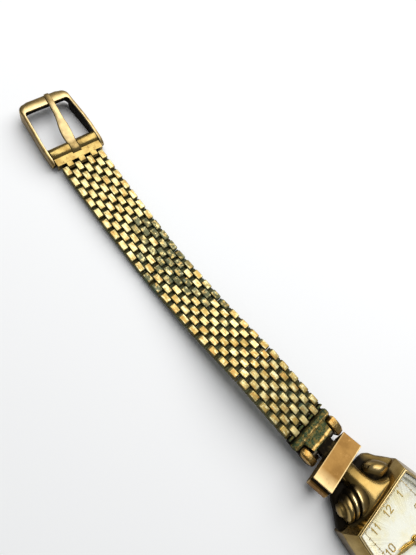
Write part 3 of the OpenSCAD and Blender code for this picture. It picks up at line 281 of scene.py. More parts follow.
def brick_metal(name):
    """Bricks: each with its own tone, verdigris near the gaps, pits and tops worn bright; their
    sides and dipped ends are darkened with painted shade.
    """
    # The three values are the brick's own tone, its green, and how deep a point lies; the depth
    # brings grime and painted shade
    bright, dull = (0.56, 0.465, 0.205), (0.375, 0.27, 0.083)
    stain, polish, pit = (0.36, 0.20, 0.055), (0.80, 0.72, 0.42), (0.34, 0.17, 0.05)
    gap, dusty_gap = (0.085, 0.062, 0.017), (0.150, 0.128, 0.050)
    dark_green, pale_green = (0.016, 0.038, 0.022), (0.125, 0.185, 0.125)
    g = Graph(name)
    own, green, deep = g.wear_and_light()
    patch = g.noise(1300, 5, 0.65)
    fine = g.noise(6500, 3, 0.6)
    color = g.mix(g.step(g.add(own, g.times(patch, 0.7)), 0.5, 1.15), bright, dull)
    streak = g.noise(2100, 4, 0.7, (1, 0.35, 1))
    color = g.mix(g.step(streak, 0.50, 0.62, 0.0, 0.85), color, stain)
    color = g.mix(g.step(streak, 0.48, 0.38, 0.0, 0.7), color, polish)
    pits = g.step(g.noise(2600, 5, 0.75), 0.6, 0.72)
    color = g.mix(g.times(pits, g.step(own, 0.2, 0.9)), color, pit)
    # Low faces, sides and dipped ends take the gap colours, which are grime and painted shade
    low = g.step(g.add(deep, g.times(fine, 0.26)), 0.36, 0.90)
    color = g.mix(low, color, g.mix(g.step(patch, 0.4, 0.6), gap, dusty_gap))
    edge = g.step(g.add(deep, g.times(patch, 0.5)), 0.3, 0.75)
    spread = g.larger(edge, g.step(green, 0.55, 1.0, 0.0, 0.75))
    verd = g.times(g.times(green, spread), g.step(patch, 0.36, 0.58), True)
    color = g.mix(verd, color, g.mix(g.step(fine, 0.35, 0.65), dark_green, pale_green))
    cover = g.larger(low, verd)
    rough = g.add(g.step(patch, 0.3, 0.7, 0.30, 0.50), g.times(cover, 0.35), True)
    return g.finish(Base_Color=color, Metallic=g.step(cover, 0.15, 0.95, 1.0, 0.25),
                    Roughness=rough, Normal=g.bump(g.add(fine, g.times(patch, 2.5)), 1.2e-5))


def corroded(name):
    """The end links: green and brown crust with gold showing on the ridges, and low and hidden
    parts near black as painted shade.
    """
    clean, stained = (0.52, 0.345, 0.12), (0.34, 0.18, 0.04)
    dark_green, pale_green = (0.008, 0.022, 0.011), (0.095, 0.128, 0.055)
    ochre = (0.20, 0.15, 0.042)
    g = Graph(name)
    _, crusted, deep = g.wear_and_light()
    patch = g.noise(1100, 6, 0.7)
    fine = g.noise(5200, 4, 0.65)
    crust = g.step(g.add(crusted, g.times(patch, 0.9)), 0.75, 1.2)
    gold = g.mix(g.step(patch, 0.4, 0.6), clean, stained)
    green = g.mix(g.step(fine, 0.35, 0.65), dark_green, pale_green)
    green = g.mix(g.step(g.noise(1900, 5, 0.7), 0.46, 0.58), green, ochre)
    color = g.mix(crust, gold, green)
    # Low and hidden parts go near black: painted shade
    low = g.step(g.add(deep, g.times(fine, 0.25)), 0.5, 1.0)
    color = g.mix(low, color, GRIME_AND_SHADE)
    cover = g.larger(low, crust)
    return g.finish(Base_Color=color, Metallic=g.step(cover, 0.1, 0.9, 1.0, 0.2),
                    Roughness=g.step(cover, 0.0, 1.0, 0.25, 0.7),
                    Normal=g.bump(g.add(g.times(patch, 2.0), fine), 3e-5, 0.9))


def glass():
    """Scratched and smeared crystal that lets light through to the dial."""
    g = Graph("crystal")
    scratch = g.noise(900, 3, 0.7, (1, 14, 1), 0.6)
    smear = g.noise(160, 4, 0.6)
    path = g.new("ShaderNodeLightPath")
    p = g.new("ShaderNodeBsdfPrincipled")
    g.put(p.inputs["Base Color"], (0.98, 0.99, 0.98))
    g.put(p.inputs["Transmission Weight"], 1.0)
    g.put(p.inputs["IOR"], 1.07)
    g.put(p.inputs["Roughness"], g.step(smear, 0.35, 0.7, 0.01, 0.06))
    g.put(p.inputs["Normal"], g.bump(g.step(scratch, 0.6, 0.7), 1.5e-6, 0.4))
    clear = g.new("ShaderNodeBsdfTransparent")
    mix = g.new("ShaderNodeMixShader")
    g.put(mix.inputs[0], g.larger(path.outputs["Is Shadow Ray"], path.outputs["Is Diffuse Ray"]))
    g.put(mix.inputs[1], p.outputs[0])
    g.put(mix.inputs[2], clear.outputs[0])
    return g.output(mix)


def dial_paint():
    """Cream dial with brushed rays towards the rim, yellow stains and specks."""
    cream, yellow = (0.98, 0.97, 0.85), (0.94, 0.87, 0.58)
    ray_brown, speck_brown = (0.22, 0.15, 0.06), (0.12, 0.10, 0.06)
    g = Graph("dial")
    angle = g.new("ShaderNodeTexGradient", gradient_type="RADIAL")
    g.put(angle.inputs[0], g.coord)
    n = g.new("ShaderNodeTexNoise", noise_dimensions="1D")
    g.put(n.inputs["W"], g.times(angle.outputs["Fac"], 900))
    n.inputs["Scale"].default_value = 1
    ray = n.outputs["Fac"]
    stain = g.noise(260, 5, 0.65)
    color = g.mix(g.step(stain, 0.42, 0.7), cream, yellow)
    radius = g.new("ShaderNodeVectorMath", operation="LENGTH")
    g.put(radius.inputs[0], g.coord)
    rim = g.step(radius.outputs["Value"], 0.0045, 0.0085, 0.12, 0.85)
    color = g.mix(g.times(g.step(ray, 0.56, 0.66), rim), color, ray_brown)
    speck = g.step(g.noise(2400, 3, 0.7), 0.7, 0.76)
    color = g.mix(g.times(speck, 0.6), color, speck_brown)
    return g.finish(Base_Color=color, Metallic=0.0, Roughness=g.step(stain, 0.3, 0.7, 0.32, 0.5),
                    Normal=g.bump(ray, 3e-6, 0.6))


def ruby():
    g = Graph("jewel")
    cloud = g.noise(4200, 3, 0.5)
    color = g.mix(cloud, (0.62, 0.05, 0.16), (0.42, 0.02, 0.09))
    return g.finish(Base_Color=color, Roughness=g.step(cloud, 0.3, 0.7, 0.05, 0.14),
                    Coat_Weight=0.6, Normal=g.bump(cloud, 2e-6, 0.3))


def floor_paint():
    g = Graph("floor")
    d = g.new("ShaderNodeBsdfDiffuse")
    g.put(d.inputs["Color"], g.mix(g.noise(14, 3, 0.5), (0.95, 0.95, 0.95), (0.93, 0.935, 0.94)))
    return g.output(d)


# Mesh building; lengths are millimetres until a mesh is made

class Build:
    """Vertices and faces gathered from rings, each vertex with three values for marks of use and
    for painted highlight and shade.
    """

    def __init__(self):
        self.v, self.f, self.w = [], [], []

    def ring_loft(self, rings, wear_and_light, loop=False):
        """Skins rings of equal length; the ends are capped, unless loop joins last to first."""
        # The values come as one triple, a list with a triple for each ring, or a function of the
        # point
        base, n, k = len(self.v), len(rings[0]), len(rings)
        for i, ring in enumerate(rings):
            for p in ring:
                self.v.append(Vector(p))
                if callable(wear_and_light):
                    self.w.append(wear_and_light(p))
                elif isinstance(wear_and_light, list):
                    self.w.append(wear_and_light[i])
                else:
                    self.w.append(wear_and_light)
        for i in range(k if loop else k - 1):
            a, b = base + i * n, base + (i + 1) % k * n
            for j in range(n):
                j2 = (j + 1) % n
                self.f.append((a + j, b + j, b + j2, a + j2))
        if not loop:
            self.f.append(tuple(base + j for j in range(n)))
            self.f.append(tuple(base + (k - 1) * n + j for j in reversed(range(n))))

    def block(self, xs, ys, zs, wear_and_light):
        """A thin box, for webs and plates that are hardly seen."""
        (y0, y1), (z0, z1) = ys, zs
        self.ring_loft([[(x, y0, z0), (x, y1, z0), (x, y1, z1), (x, y0, z1)] for x in xs], wear_and_light)

    def moved(self, m, start=0):
        for i in range(start, len(self.v)):
            self.v[i] = m @ self.v[i]

    def object(self, name, mat, body, nodes, angle, bevel=0.0):
        """Makes the piece; edges over angle degrees stay sharp, with a bevel where one is given."""
        mesh = bpy.data.meshes.new(name)
        mesh.from_pydata([p * MM for p in self.v], [], self.f)
        mesh.validate()
        col = mesh.color_attributes.new("wear_and_light", "FLOAT_COLOR", "POINT")
        col.data.foreach_set("color", [x for w in self.w for x in (*w, 1)])
        bm = bmesh.new()
        bm.from_mesh(mesh)
        bmesh.ops.recalc_face_normals(bm, faces=bm.faces)
        bm.to_mesh(mesh)
        bm.free()
        mesh.shade_smooth()
        mesh.set_sharp_from_angle(angle=math.radians(angle))
        o = bpy.data.objects.new(name, mesh)
        scene.collection.objects.link(o)
        mesh.materials.append(mat)
        if bevel:
            bevel_edges(o, bevel * MM, angle)
        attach(o, body)
        if nodes:
            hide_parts(*nodes)


BEVEL_STEPS = 2


def bevel_edges(o, width, angle):
    b = o.modifiers.new("edge", "BEVEL")
    b.width = width
    b.segments = BEVEL_STEPS
    b.limit_method = "ANGLE"
    b.angle_limit = math.radians(angle)


def turn(axis, deg):
    return Matrix.Rotation(math.radians(deg), 4, axis)


def move(x, y, z):
    return Matrix.Translation((x, y, z))


def smooth(t):
    """Goes smoothly from 0 to 1 with t, and stays at 0 or 1 outside."""
    t = min(1, max(0, t))
    return t * t * (3 - 2 * t)


def along(table, y):
    """Value at y of a table of (y, value) pairs with straight lines between."""
    for (a, va), (b, vb) in zip(table, table[1:]):
        if y <= b:
            t = max(0, (y - a) / (b - a))
            return va + (vb - va) * t
    return table[-1][1]


def rounded(hx, z0, z1, r):
    """Rounded rectangle, counter-clockwise with X to the right and Z up."""
    pts, n = [], 4
    for cx, cz, a0 in ((hx - r, z1 - r, 0), (-hx + r, z1 - r, 90),
                       (-hx + r, z0 + r, 180), (hx - r, z0 + r, 270)):
        for i in range(n + 1):
            a = math.radians(a0 + 90 * i / n)
            pts.append((cx + r * math.cos(a), cz + r * math.sin(a)))
    return pts


def bell(x, middle, width):
    """A hump of height 1 that falls to about a third at width from its middle."""
    return math.exp(-((x - middle) / width) ** 2)


def wheel(n):
    """Angles of n points round a circle."""
    return [k * math.tau / n for k in range(n)]


# The strap's layout, as in the CAD model

ROWS, COLUMNS, MID_COLUMN = 10, 7, 4
END_COLUMNS = (1, 3, 5, 7)
# Distance between rows, distance between columns, and how far a brick reaches past its row
HALF, COL, OVER = 2.2667 / 2, 1.143, 0.33
BRICK_W, BRICK_T, BRICK_L = 1.023, 1.25, HALF + 2 * OVER
PIN_END, PIN_R = 3.94, 0.14
# How far along the strap the verdigris has its strong patch and its two weaker ones
STRONG_AT, WEAK_AT, WEAKER_AT = 57, 42, 24
# Rise, lean and yaw in degrees of each piece, from the end link outwards, in the two halves
LAID = {12: ([6.8, 1.6, -10.1, -5.8, 1.5, 0.8, 0.6], [0.3, 1, 2.4, 2.4, 1.8, 1.3, 1.3],
             [1, 1.8, 3.1, 4.2, 5.2, 6.6, 7.7]),
        6: ([-7, -8, -1.6, -0.2, 0, 0, 0], [0] * 7, [0.5, 1.2, 2.2, 3, 3.4, 3.6, 3.6])}
LUG_Y, LUG_Z = 18.95, 3.2
END_LEN = 4.15


def place(h, e):
    """Frame of strap piece e in half h, with its origin on the near hinge."""
    rise, lean, yaw = LAID[h]
    p = Vector((0, LUG_Y, LUG_Z))
    for i in range(e):
        r = turn("Z", -yaw[i]) @ turn("Y", lean[i]) @ turn("X", rise[i])
        p = p + (END_LEN if i == 0 else ROWS * HALF) * (r @ Vector((0, 1, 0)))
    return (turn("Z", 0 if h == 12 else 180) @ Matrix.Translation(p)
            @ turn("Z", -yaw[e]) @ turn("Y", lean[e]) @ turn("X", rise[e]))


def column(c):
    return (c - MID_COLUMN) * COL


def brick(b, x, y0, tone, green, bare, y_from=None):
    """One brick: a flat bright face, then an end that dips under the next brick and is darkened
    with painted shade.
    """
    # bare is the share of its length that lies open, and y_from cuts its near end off
    hw, t = BRICK_W / 2, BRICK_T / 2
    lift = random.uniform(-0.012, 0.012)
    lean = random.uniform(-0.01, 0.01)
    y1 = y0 + BRICK_L
    yb = y0 + 0.05 + bare * (BRICK_L - 0.1)
    dip = 0.3 * (1 - bare)
    # Place along the brick, its top and bottom there, and how far its sides come in
    table = [(y0, t - 0.34, 0.30 - t, 0.13), (y0 + 0.05, t - 0.14, 0.15 - t, 0.05),
             (y0 + 0.14, t - 0.03, 0.05 - t, 0), (y0 + 0.25, t, -t, 0), (yb - 0.05, t, -t, 0),
             (yb + 0.02, t - 0.02 - dip / 2, 0.02 - t, 0),
             (y1 - 0.14, t - 0.06 - dip, 0.05 - t, 0.01),
             (y1 - 0.05, t - 0.16 - dip, 0.15 - t, 0.05), (y1, t - 0.38, 0.28 - t, 0.13)]
    if y_from is not None:
        table = [(max(y, y_from), *r) for y, *r in table if y > y_from - 0.3]
    rings = []
    for y, zt, zb, cut in table:
        w = hw - cut
        zt += lift
        rings.append([(x + px, y, z) for px, z in (
            (-w, zb + 0.08), (-w + 0.08, zb), (w - 0.08, zb), (w, zb + 0.08),
            (w, zt - 0.12 + lean), (w - 0.09, zt + lean), (-w + 0.09, zt - lean),
            (-w, zt - 0.12 - lean))])

    # Painted shade: the lower faces, the sides and the dipped end get a high third value
    def wear_and_light(p):
        low = min(1, max(0, (t - 0.09 - p[2]) / 0.3))
        end = max(0, min(1, (p[1] - yb + 0.02) / 0.16)) * (0.72 if bare < 0.9 else 0.5)
        if abs(p[0] - x) > hw - 0.07:
            low = max(low, 0.72)
        return (tone, green, min(1, max(low, end)))
    b.ring_loft(rings, wear_and_light)


def gap_filler(b, c, y, half):
    """Web in column c behind the gap between two bricks, reaching half each way from y, coloured
    dark as painted shade.
    """
    x = column(c)
    b.ring_loft([[(x + dx, yy, z) for yy, z in (
        (y - half, -0.5), (y + half, -0.5), (y + half, -0.1), (y, 0.08), (y - half, -0.1))]
        for dx in (-0.51, 0.51)], (0.9, 0.45, 0.95))


def greenness(far, c):
    """Verdigris in column c, far millimetres out: three patches on top of a trace."""
    side = 0.35 + 0.65 * (1 if c >= MID_COLUMN else 0.6)
    strong = bell(far, STRONG_AT, 8) * (0.35 + 0.65 * smooth((c - 1.5) / 3))
    faint = 0.45 * bell(far, WEAK_AT, 9) + 0.4 * bell(far, WEAKER_AT, 6) + 0.14
    return 1.7 * strong + side * faint


def section(name, h, e, mat):
    """Ten rows of bricks on their cross pins: strap piece e in half h."""
    b = Build()
    m = place(h, e)
    for k in range(ROWS):
        for c in range(1, COLUMNS + 1):
            if c % 2 != k % 2:
                continue
            far = (m @ Vector((column(c), (k + 0.5) * HALF, 0))).y * (1 if h == 12 else -1)
            green = greenness(far, c) * random.uniform(0.35, 1.5)
            tone = random.random() * (0.85 if far < 62 else 0.6)
            # The edge columns are duller on the case's side of the strap
            if c in (1, COLUMNS) and far < 60:
                tone = 0.45 + 0.55 * tone
            bare = 0.76 + 0.18 * smooth((far - 30) / 30)
            brick(b, column(c), k * HALF - OVER, tone, min(1, green), bare)
            if k < ROWS - 1:
                gap_filler(b, c, (k + 1.5) * HALF, 0.24 if k < ROWS - 2 else 0.17)
    for c in END_COLUMNS:
        gap_filler(b, c, 0.5 * HALF, 0.17)
    # The cross pins take the same dark colour, as painted shade
    for k in range(1, ROWS + 1):
        b.ring_loft([[(x, k * HALF + PIN_R * math.cos(a), PIN_R * math.sin(a)) for a in wheel(6)]
                     for x in (-PIN_END, PIN_END)], (0.8, 0.3, 0.95))
    b.moved(m)
    b.object(name + "_links", mat, name, [name], 24)


# The case with its hoods and scrolls
# A plan is the half width at the middle, the half width at the ends, and the half length

CASE_PLAN = (8.3, 7.2, 8.6)
BEZEL_PLAN = (7.05, 6.1, 7.62)
ROOM_PLAN = (6.65, 5.7, 7.32)
OPENING_PLAN = (6.35, 5.4, 7.02)
GLASS_PLAN = (6.78, 5.83, 7.35)
GLASS_TOP, GLASS_T = 6.55, 0.4
# The dome falls from its middle by the square of the distance over this
DOME = 60
STEM_Z = 2.05
# The collar round the stem: place along the stem and radius
COLLAR = ((8.6, 0.34), (8.6, 0.76), (8.55, 0.8), (7.95, 0.8), (7.95, 0.34))
SIDE_T = (-1, -0.93, -0.8, -0.6, -0.4, -0.2, -0.0523, 0.0523, 0.2, 0.4, 0.6, 0.8, 0.93, 1)


def tonneau(plan, inset, z):
    """Ring of a plan with curved long sides, brought in by inset all round."""
    mid, end, length = (v - inset for v in plan)
    side = [(mid - (mid - end) * t * t, length * t, z) for t in SIDE_T]
    return side + [(-x, y, z) for x, y, z in reversed(side)]


def stem_hole(b, first, base, n):
    """Opens the wall on the crown's side: swaps its outer and inner face for four between them."""
    outer, inner, j = 2, 17, 6

    def corners(lower, upper):
        return [base + lower * n + j, base + upper * n + j, base + upper * n + j + 1,
                base + lower * n + j + 1]
    o = corners(outer, outer + 1)
    i = corners(inner + 1, inner)
    del b.f[first + inner * n + j]
    del b.f[first + outer * n + j]
    for k in range(4):
        b.f.append((o[k], o[(k + 1) % 4], i[(k + 1) % 4], i[k]))


def case_shell(b):
    """Middle, bezel and inner wall in one loop, with a collar round the stem."""
    def band(inset, z):
        return tonneau(CASE_PLAN, inset, z)

    def bezel(inset, z):
        return tonneau(BEZEL_PLAN, inset, z)

    def room(z):
        return tonneau(ROOM_PLAN, 0, z)
    rings = [band(0.1, 0.5), band(0, 0.6), band(0, 1.6), band(0, 2.5), band(0, 3.12),
             band(0.06, 3.22), bezel(-0.2, 5.22), bezel(-0.14, 5.33), bezel(-0.07, 5.30),
             bezel(-0.03, 5.53), bezel(0.02, 5.6), bezel(0.19, 5.6), bezel(0.24, 5.55),
             bezel(0.24, 4.95), tonneau(OPENING_PLAN, 0, 4.95), tonneau(OPENING_PLAN, 0, 4.17),
             room(4.15), room(2.5), room(1.6), room(0.5)]

    # Painted light on the case: the bezel's top edge and the ledge are rubbed and carry a painted
    # highlight, and painted shade darkens the sides below the bezel, the ends beneath the hoods,
    # the bezel's groove and the bottom edge
    def wear_and_light(p):
        x, y, z = abs(p[0]), abs(p[1]), p[2]
        rub_and_highlight = 0.9 if z > 5.4 else 0.5 if 3.1 < z < 3.3 else 0
        low = 0.75 if y > 8.4 and z < 3 and x < 6.3 else 0
        groove = 0.9 if 5.29 < z < 5.31 else 0
        return (rub_and_highlight, 0.95 if z < 3.2 else 0.75 if z < 5.25 else 0,
                max(low, groove, 0.35 if z < 0.7 else 0))
    first, base = len(b.f), len(b.v)
    b.ring_loft(rings, wear_and_light, loop=True)
    stem_hole(b, first, base, len(rings[0]))
    b.ring_loft([[(x, r * math.cos(t), STEM_Z + r * math.sin(t)) for t in wheel(28)]
                 for x, r in COLLAR], (0.2, 0, 0), loop=True)


# The hood: its tip and length, its height at the tip and how far it rises, its underside
# and the lift of its lower lip, and its half width at the tip
HOOD_TIP, HOOD_LENGTH = 13.6, 5.98
HOOD_TOP, HOOD_RISE = 4.03, 1.3
HOOD_UNDER, LIP_LIFT = 1.3, 1.19
HOOD_TIP_W = 1.5
HOOD_ROWS = [7.45, 7.55, 7.7, 7.9, 8.1, 8.35] + [8.6 + 0.28 * i for i in range(20)]
# The tongue: half width, the flat part of that, and radius round the lug pin
TONGUE_W, TONGUE_FLAT, TONGUE_R = 1.4, 1.36, 1.12


def hood(b):
    """Hooded end: an arched hump that narrows outwards, and the tongue round the lug pin."""
    rings = []
    arch = 26
    for y in HOOD_ROWS:
        # k is 1 at the bezel and 0 at the tip
        k = max(0, (HOOD_TIP - y) / HOOD_LENGTH)
        w = HOOD_TIP_W + 1.5 * k ** 1.4 + 3.2 * k ** 6
        dip = 0.6 * max(0, (8.5 - y) / 0.9) ** 2
        top = HOOD_TOP + HOOD_RISE * smooth((13.5 - y) / 5.0) - dip
        low = HOOD_UNDER + LIP_LIFT * smooth((y - 11.8) / 1.3)
        ring = []
        for i in range(arch + 1):
            f = math.pi * i / arch
            up = math.sin(f) ** 0.62 if 0 < i < arch else 0
            ring.append((w * math.cos(f), y, low + (top - low) * up))
        rings.append(ring)

    # Painted shade low down and in the crease at the bezel, a faint painted highlight on the top
    # near the bezel, and a brown tint on the flanks and towards the tip
    def wear_and_light(p):
        low = 1 - smooth((p[2] - 2.2) / 1.5)
        flank = 0.5 * smooth((abs(p[0]) - 0.9) / 0.5) * smooth((p[1] - 9.9) / 1.0)
        near = 0.75 * smooth((p[1] - 11.0) / 2.2)
        seam = 0.8 * smooth((7.95 - p[1]) / 0.3)
        painted_highlight = 0.08 * (1 - smooth((abs(p[0]) - 0.8) / 2)) * (1 - smooth((p[1] - 9.2) / 2))
        return (painted_highlight, min(1, flank + near), max(low, seam))
    b.ring_loft(rings, wear_and_light)
    pts = [(13.3, 2.47), (13.3, 3.0), (13.9, 3.92), (18.3, 3.92)]
    for i in range(13):
        t = math.radians(60 - 22.5 * i * 0.98)
        pts.append((LUG_Y + TONGUE_R * math.cos(t), LUG_Z + TONGUE_R * math.sin(t)))
    pts += [(17.9, 2.46)]
    # The tongue darkens towards the lug pin, beneath the keeper: painted shade
    b.ring_loft([[(x, y, z) for y, z in pts]
                 for x in (-TONGUE_W, -TONGUE_FLAT, TONGUE_FLAT, TONGUE_W)],
                lambda p: (0, 0.6, 0.3 + 0.65 * smooth((p[1] - 16.2) / 1)))


# Rings of a scroll: radius, place along its axis, sideways shift, then rub, tint and grime; the
# ridges are rubbed and carry a painted highlight, and the tint and grime in the grooves are painted
# shade
RIDGED = [
    (0.01, -1.6, 0, 0, 0.5, 0.9), (1.9, -1.6, 0, 0, 0.5, 0.9), (2.3, -0.9, 0, 0, 0.4, 0.7),
    (2.40, -0.35, 0, 0.1, 0.2, 0.4), (2.42, -0.12, 0, 0.9, 0, 0), (2.38, 0.0, 0, 0.9, 0, 0),
    (2.24, 0.04, 0, 0.2, 0.3, 0.3), (2.0, 0.0, 0, 0, 0.4, 0.9), (1.9, 0.16, 0.1, 0, 0.4, 1),
    (1.95, 0.34, 0.2, 0, 0.4, 0.8), (2.12, 0.48, 0.3, 0, 0.3, 0.3), (2.2, 0.66, 0.35, 0.9, 0, 0),
    (2.18, 0.84, 0.4, 0.9, 0, 0), (2.06, 0.98, 0.45, 0.1, 0.4, 0.2),
    (1.84, 1.04, 0.5, 0, 0.5, 0.9), (1.76, 1.14, 0.55, 0, 0.5, 1), (1.88, 1.26, 0.6, 0, 0.4, 0.4),
    (1.98, 1.4, 0.65, 0.3, 0.1, 0.1), (2.0, 1.62, 0.7, 0.2, 0.3, 0),
    (1.96, 1.86, 0.75, 0.1, 0.5, 0), (1.84, 2.05, 0.8, 0.2, 0.3, 0),
    (1.5, 2.2, 0.8, 0, 0.5, 0.1), (1.2, 2.24, 0.8, 0, 0.5, 0.7), (1.1, 2.4, 0.75, 0, 0.5, 0.6),
    (1.0, 2.7, 0.7, 0.1, 0.4, 0.3), (0.75, 2.9, 0.7, 0.1, 0.3, 0.1), (0.4, 3.0, 0.7, 0, 0.3, 0.1),
    (0.01, 3.03, 0.7, 0, 0.3, 0.1)]
WORN = [
    (0.01, -1.6, 0, 0, 0.5, 0.9), (1.4, -1.6, 0, 0, 0.5, 0.9), (1.6, -0.6, -0.2, 0, 0.4, 1),
    (1.75, -0.1, -0.1, 0, 0.4, 0.9), (1.95, 0.3, 0, 0.1, 0.3, 0.3), (2.1, 0.7, 0.1, 0.3, 0, 0),
    (2.2, 1.1, 0.25, 0.4, 0, 0), (2.22, 1.5, 0.4, 0.1, 0.1, 0), (2.1, 1.85, 0.55, 0, 0.3, 0.2),
    (1.95, 2.05, 0.65, 0.1, 0.3, 0.5), (1.85, 2.15, 0.7, 0, 0.4, 0.6),
    (1.7, 2.35, 0.8, 0, 0.4, 0.4), (1.3, 2.6, 0.8, 0, 0.4, 0.3), (0.01, 2.8, 0.8, 0, 0.3, 0.3)]
WORN_SIZE = 0.82
SCROLL_AT, SCROLL_TURN = (2.5, 10.1, 3.12), 30


def scroll(b, side):
    """Scroll beside the hood, its axis pointing out to one side; the one at side 1 is worn."""
    start = len(b.v)
    table = RIDGED if side < 0 else WORN
    size = 1 if side < 0 else WORN_SIZE
    rings = [[(d * size, -h + r * size * math.cos(t), r * size * math.sin(t)) for t in wheel(44)]
             for r, d, h, *_ in table]
    b.ring_loft(rings, [w[3:] for w in table])
    mirror = Matrix.Diagonal((side, 1, 1, 1))
    b.moved(mirror @ move(*SCROLL_AT) @ turn("Z", SCROLL_TURN), start)
    for k in range(start, len(b.v)):
        v, w = b.v[k], b.w[k]
        # Painted shade on each scroll's low part and on its outer end, which also loses its rub
        under = max(1 - smooth((v.z - 1.2) / 1.4), smooth((v.y - 11.3 - 0.3 * side) / 0.9))
        b.w[k] = (w[0] * (1 - under), w[1], max(w[2], under))


# Half outline of the apron, and each level's height with its share of that outline
APRON = [(7.0, 7.9), (7.0, 8.9), (6.3, 9.85), (5.45, 10.95), (4.85, 12.05), (4.2, 12.65),
         (3.2, 12.9), (1.6, 12.95)]
APRON_LEVELS = ((0.75, 0.86), (0.9, 0.93), (1.5, 0.99), (1.9, 1.0), (2.2, 0.98), (2.4, 0.93),
                (2.5, 0.8))


def apron(b):
    """Lower plate of the hooded end, below the scrolls, coloured near black as painted shade and
    less dark towards its +X side.
    """
    plan = APRON + [(-x, y) for x, y in reversed(APRON)]
    root = APRON[0][1]
    b.ring_loft([[(x * (0.6 + 0.4 * k), root + (y - root) * k, z) for x, y in plan]
                 for z, k in APRON_LEVELS],
                lambda p: (0, 0.5, 1 - 0.6 * smooth((p[0] - 3) / 1.6)))


def case_piece(mat):
    b = Build()
    case_shell(b)
    for end in (0, 180):
        start = len(b.v)
        hood(b)
        apron(b)
        scroll(b, 1)
        scroll(b, -1)
        b.moved(turn("Z", end), start)
    b.object("case_shell", mat, "case", ["case_body"], 32, bevel=0.03)


def crystal_dome(mat):
    """Domed glass: its outer face from the middle out, then its inner face back in."""
    b = Build()

    def dome(size, drop):
        ring = []
        for x, y, _ in tonneau(GLASS_PLAN, 0, 0):
            x, y = x * size, y * size
            ring.append((x, y, GLASS_TOP - drop - (x * x + y * y) / DOME))
        return ring
    sizes = (1, 0.98, 0.9, 0.75, 0.55, 0.3, 0.02)
    rings = [dome(s, 0) for s in reversed(sizes)] + [dome(s, GLASS_T) for s in sizes]
    b.ring_loft(rings, (0, 0, 0))
    b.object("crystal_dome", mat, "case", ["crystal"], 40)


def dial_flange(mat):
    """Sloping ring between the dial and the glass."""
    b = Build()
    rings = [tonneau(OPENING_PLAN, 0.02, 4.16), tonneau(OPENING_PLAN, 0.01, 4.93),
             tonneau(OPENING_PLAN, -0.05, 4.98), tonneau(GLASS_PLAN, 0.04, 5.1),
             tonneau(GLASS_PLAN, 0, 5.08), tonneau(GLASS_PLAN, 0, 4.96),
             tonneau(OPENING_PLAN, -0.01, 4.96), tonneau(OPENING_PLAN, 0, 4.16)]
    b.ring_loft(rings, (0, 0, 0), loop=True)
    b.object("dial_flange", mat, "case", [], 30)


# The loose keeper: half width and half height of its opening, its wall and its length

KEEPER_W, KEEPER_H, KEEPER_T, KEEPER_LEN = 4.275, 1.55, 0.26, 3.25
# Where it lies, and its lean and tilt in degrees
KEEPER_AT, KEEPER_LEAN, KEEPER_TILT = (-0.95, 15.65, 3.3), 10, -15


def keeper_piece(mat):
    """Band with a groove and a rolled edge down its left side."""
    b = Build()
    w, h, e = KEEPER_W, KEEPER_H, KEEPER_LEN / 2
    top = h + KEEPER_T

    def outer(y, d, bulge):
        o, u = w + KEEPER_T - d, top - d
        pts = [(o, -u + 0.12), (o + 0.03 * bulge, -0.5), (o + 0.03 * bulge, 0.5), (o, u - 0.1),
               (o - 0.1, u), (o / 2, u + 0.01), (-o / 2, u + 0.01), (-o + 0.06, u),
               (-o, u - 0.05), (-o, u - 0.16), (-o + 0.05, u - 0.22), (-o + 0.19, u - 0.3),
               (-o + 0.19, u - 1.6), (-o + 0.08, u - 1.74), (-o - 0.10 * bulge, u - 1.86),
               (-o - 0.18 * bulge, u - 2.3), (-o - 0.12 * bulge, u - 2.9),
               (-o + 0.04, -u + 0.12), (-o + 0.16, -u), (o - 0.14, -u)]
        return [(x, y, z) for x, z in pts]

    def inner(y):
        pts = [(w, -h + 0.05), (w, -0.5), (w, 0.5), (w, h - 0.05), (w - 0.05, h), (w / 2, h),
               (-w / 2, h), (-w + 0.05, h), (-w, h - 0.05), (-w, h - 0.2), (-w, h - 0.3),
               (-w, h - 0.4), (-w, h - 1.0), (-w, h - 1.2), (-w, h - 1.5), (-w, h - 2.1),
               (-w, h - 2.6), (-w, -h + 0.08), (-w + 0.08, -h), (w - 0.05, -h)]
        return [(x, y, z) for x, z in pts]
    rings = [outer(-e, 0.07, 0), outer(-e + 0.03, 0.02, 0.5), outer(-e + 0.09, 0, 1),
             outer(-e + 0.2, 0, 1), outer(0, 0, 1), outer(e - 0.2, 0, 1), outer(e - 0.09, 0, 1),
             outer(e - 0.03, 0.02, 0.5), outer(e, 0.07, 0), inner(e), inner(-e)]

    # Rubbed edges, brightest on the edge towards the case and on the top of the rolled edge, where
    # they carry a painted highlight; painted shade fills the groove, the inside of the band and its
    # underside
    def wear_and_light(p):
        x, y, z = p
        edge = 1 - smooth((abs(y) - e + 0.16) / -0.1) if abs(y) > e - 0.17 else 0
        rub_and_highlight = edge * (1 if y < 0 else 0.35) if abs(z) > 1.5 or x > 0 else 0.4 * edge
        if x < -w and z > top - 0.18:
            rub_and_highlight = max(rub_and_highlight, 0.8)
        groove = 1.0 if x < -w and top - 1.65 < z < top - 0.2 else 0
        inside = 0.7 if abs(x) <= w and abs(z) <= h else 0
        under = 0.5 if z < -h else 0
        return (min(1, rub_and_highlight) * (1 - groove), 0, max(groove, inside, under))
    b.ring_loft(rings, wear_and_light, loop=True)
    b.moved(move(*KEEPER_AT) @ turn("Y", KEEPER_LEAN) @ turn("X", KEEPER_TILT))
    b.object("keeper_band", mat, "keeper", ["keeper"], 26)


# End links

# Half width of the plate, and the places along it of its two ribs
LINK_W = 3.95
RIB_1, RIB_2 = 2.75, 2.15
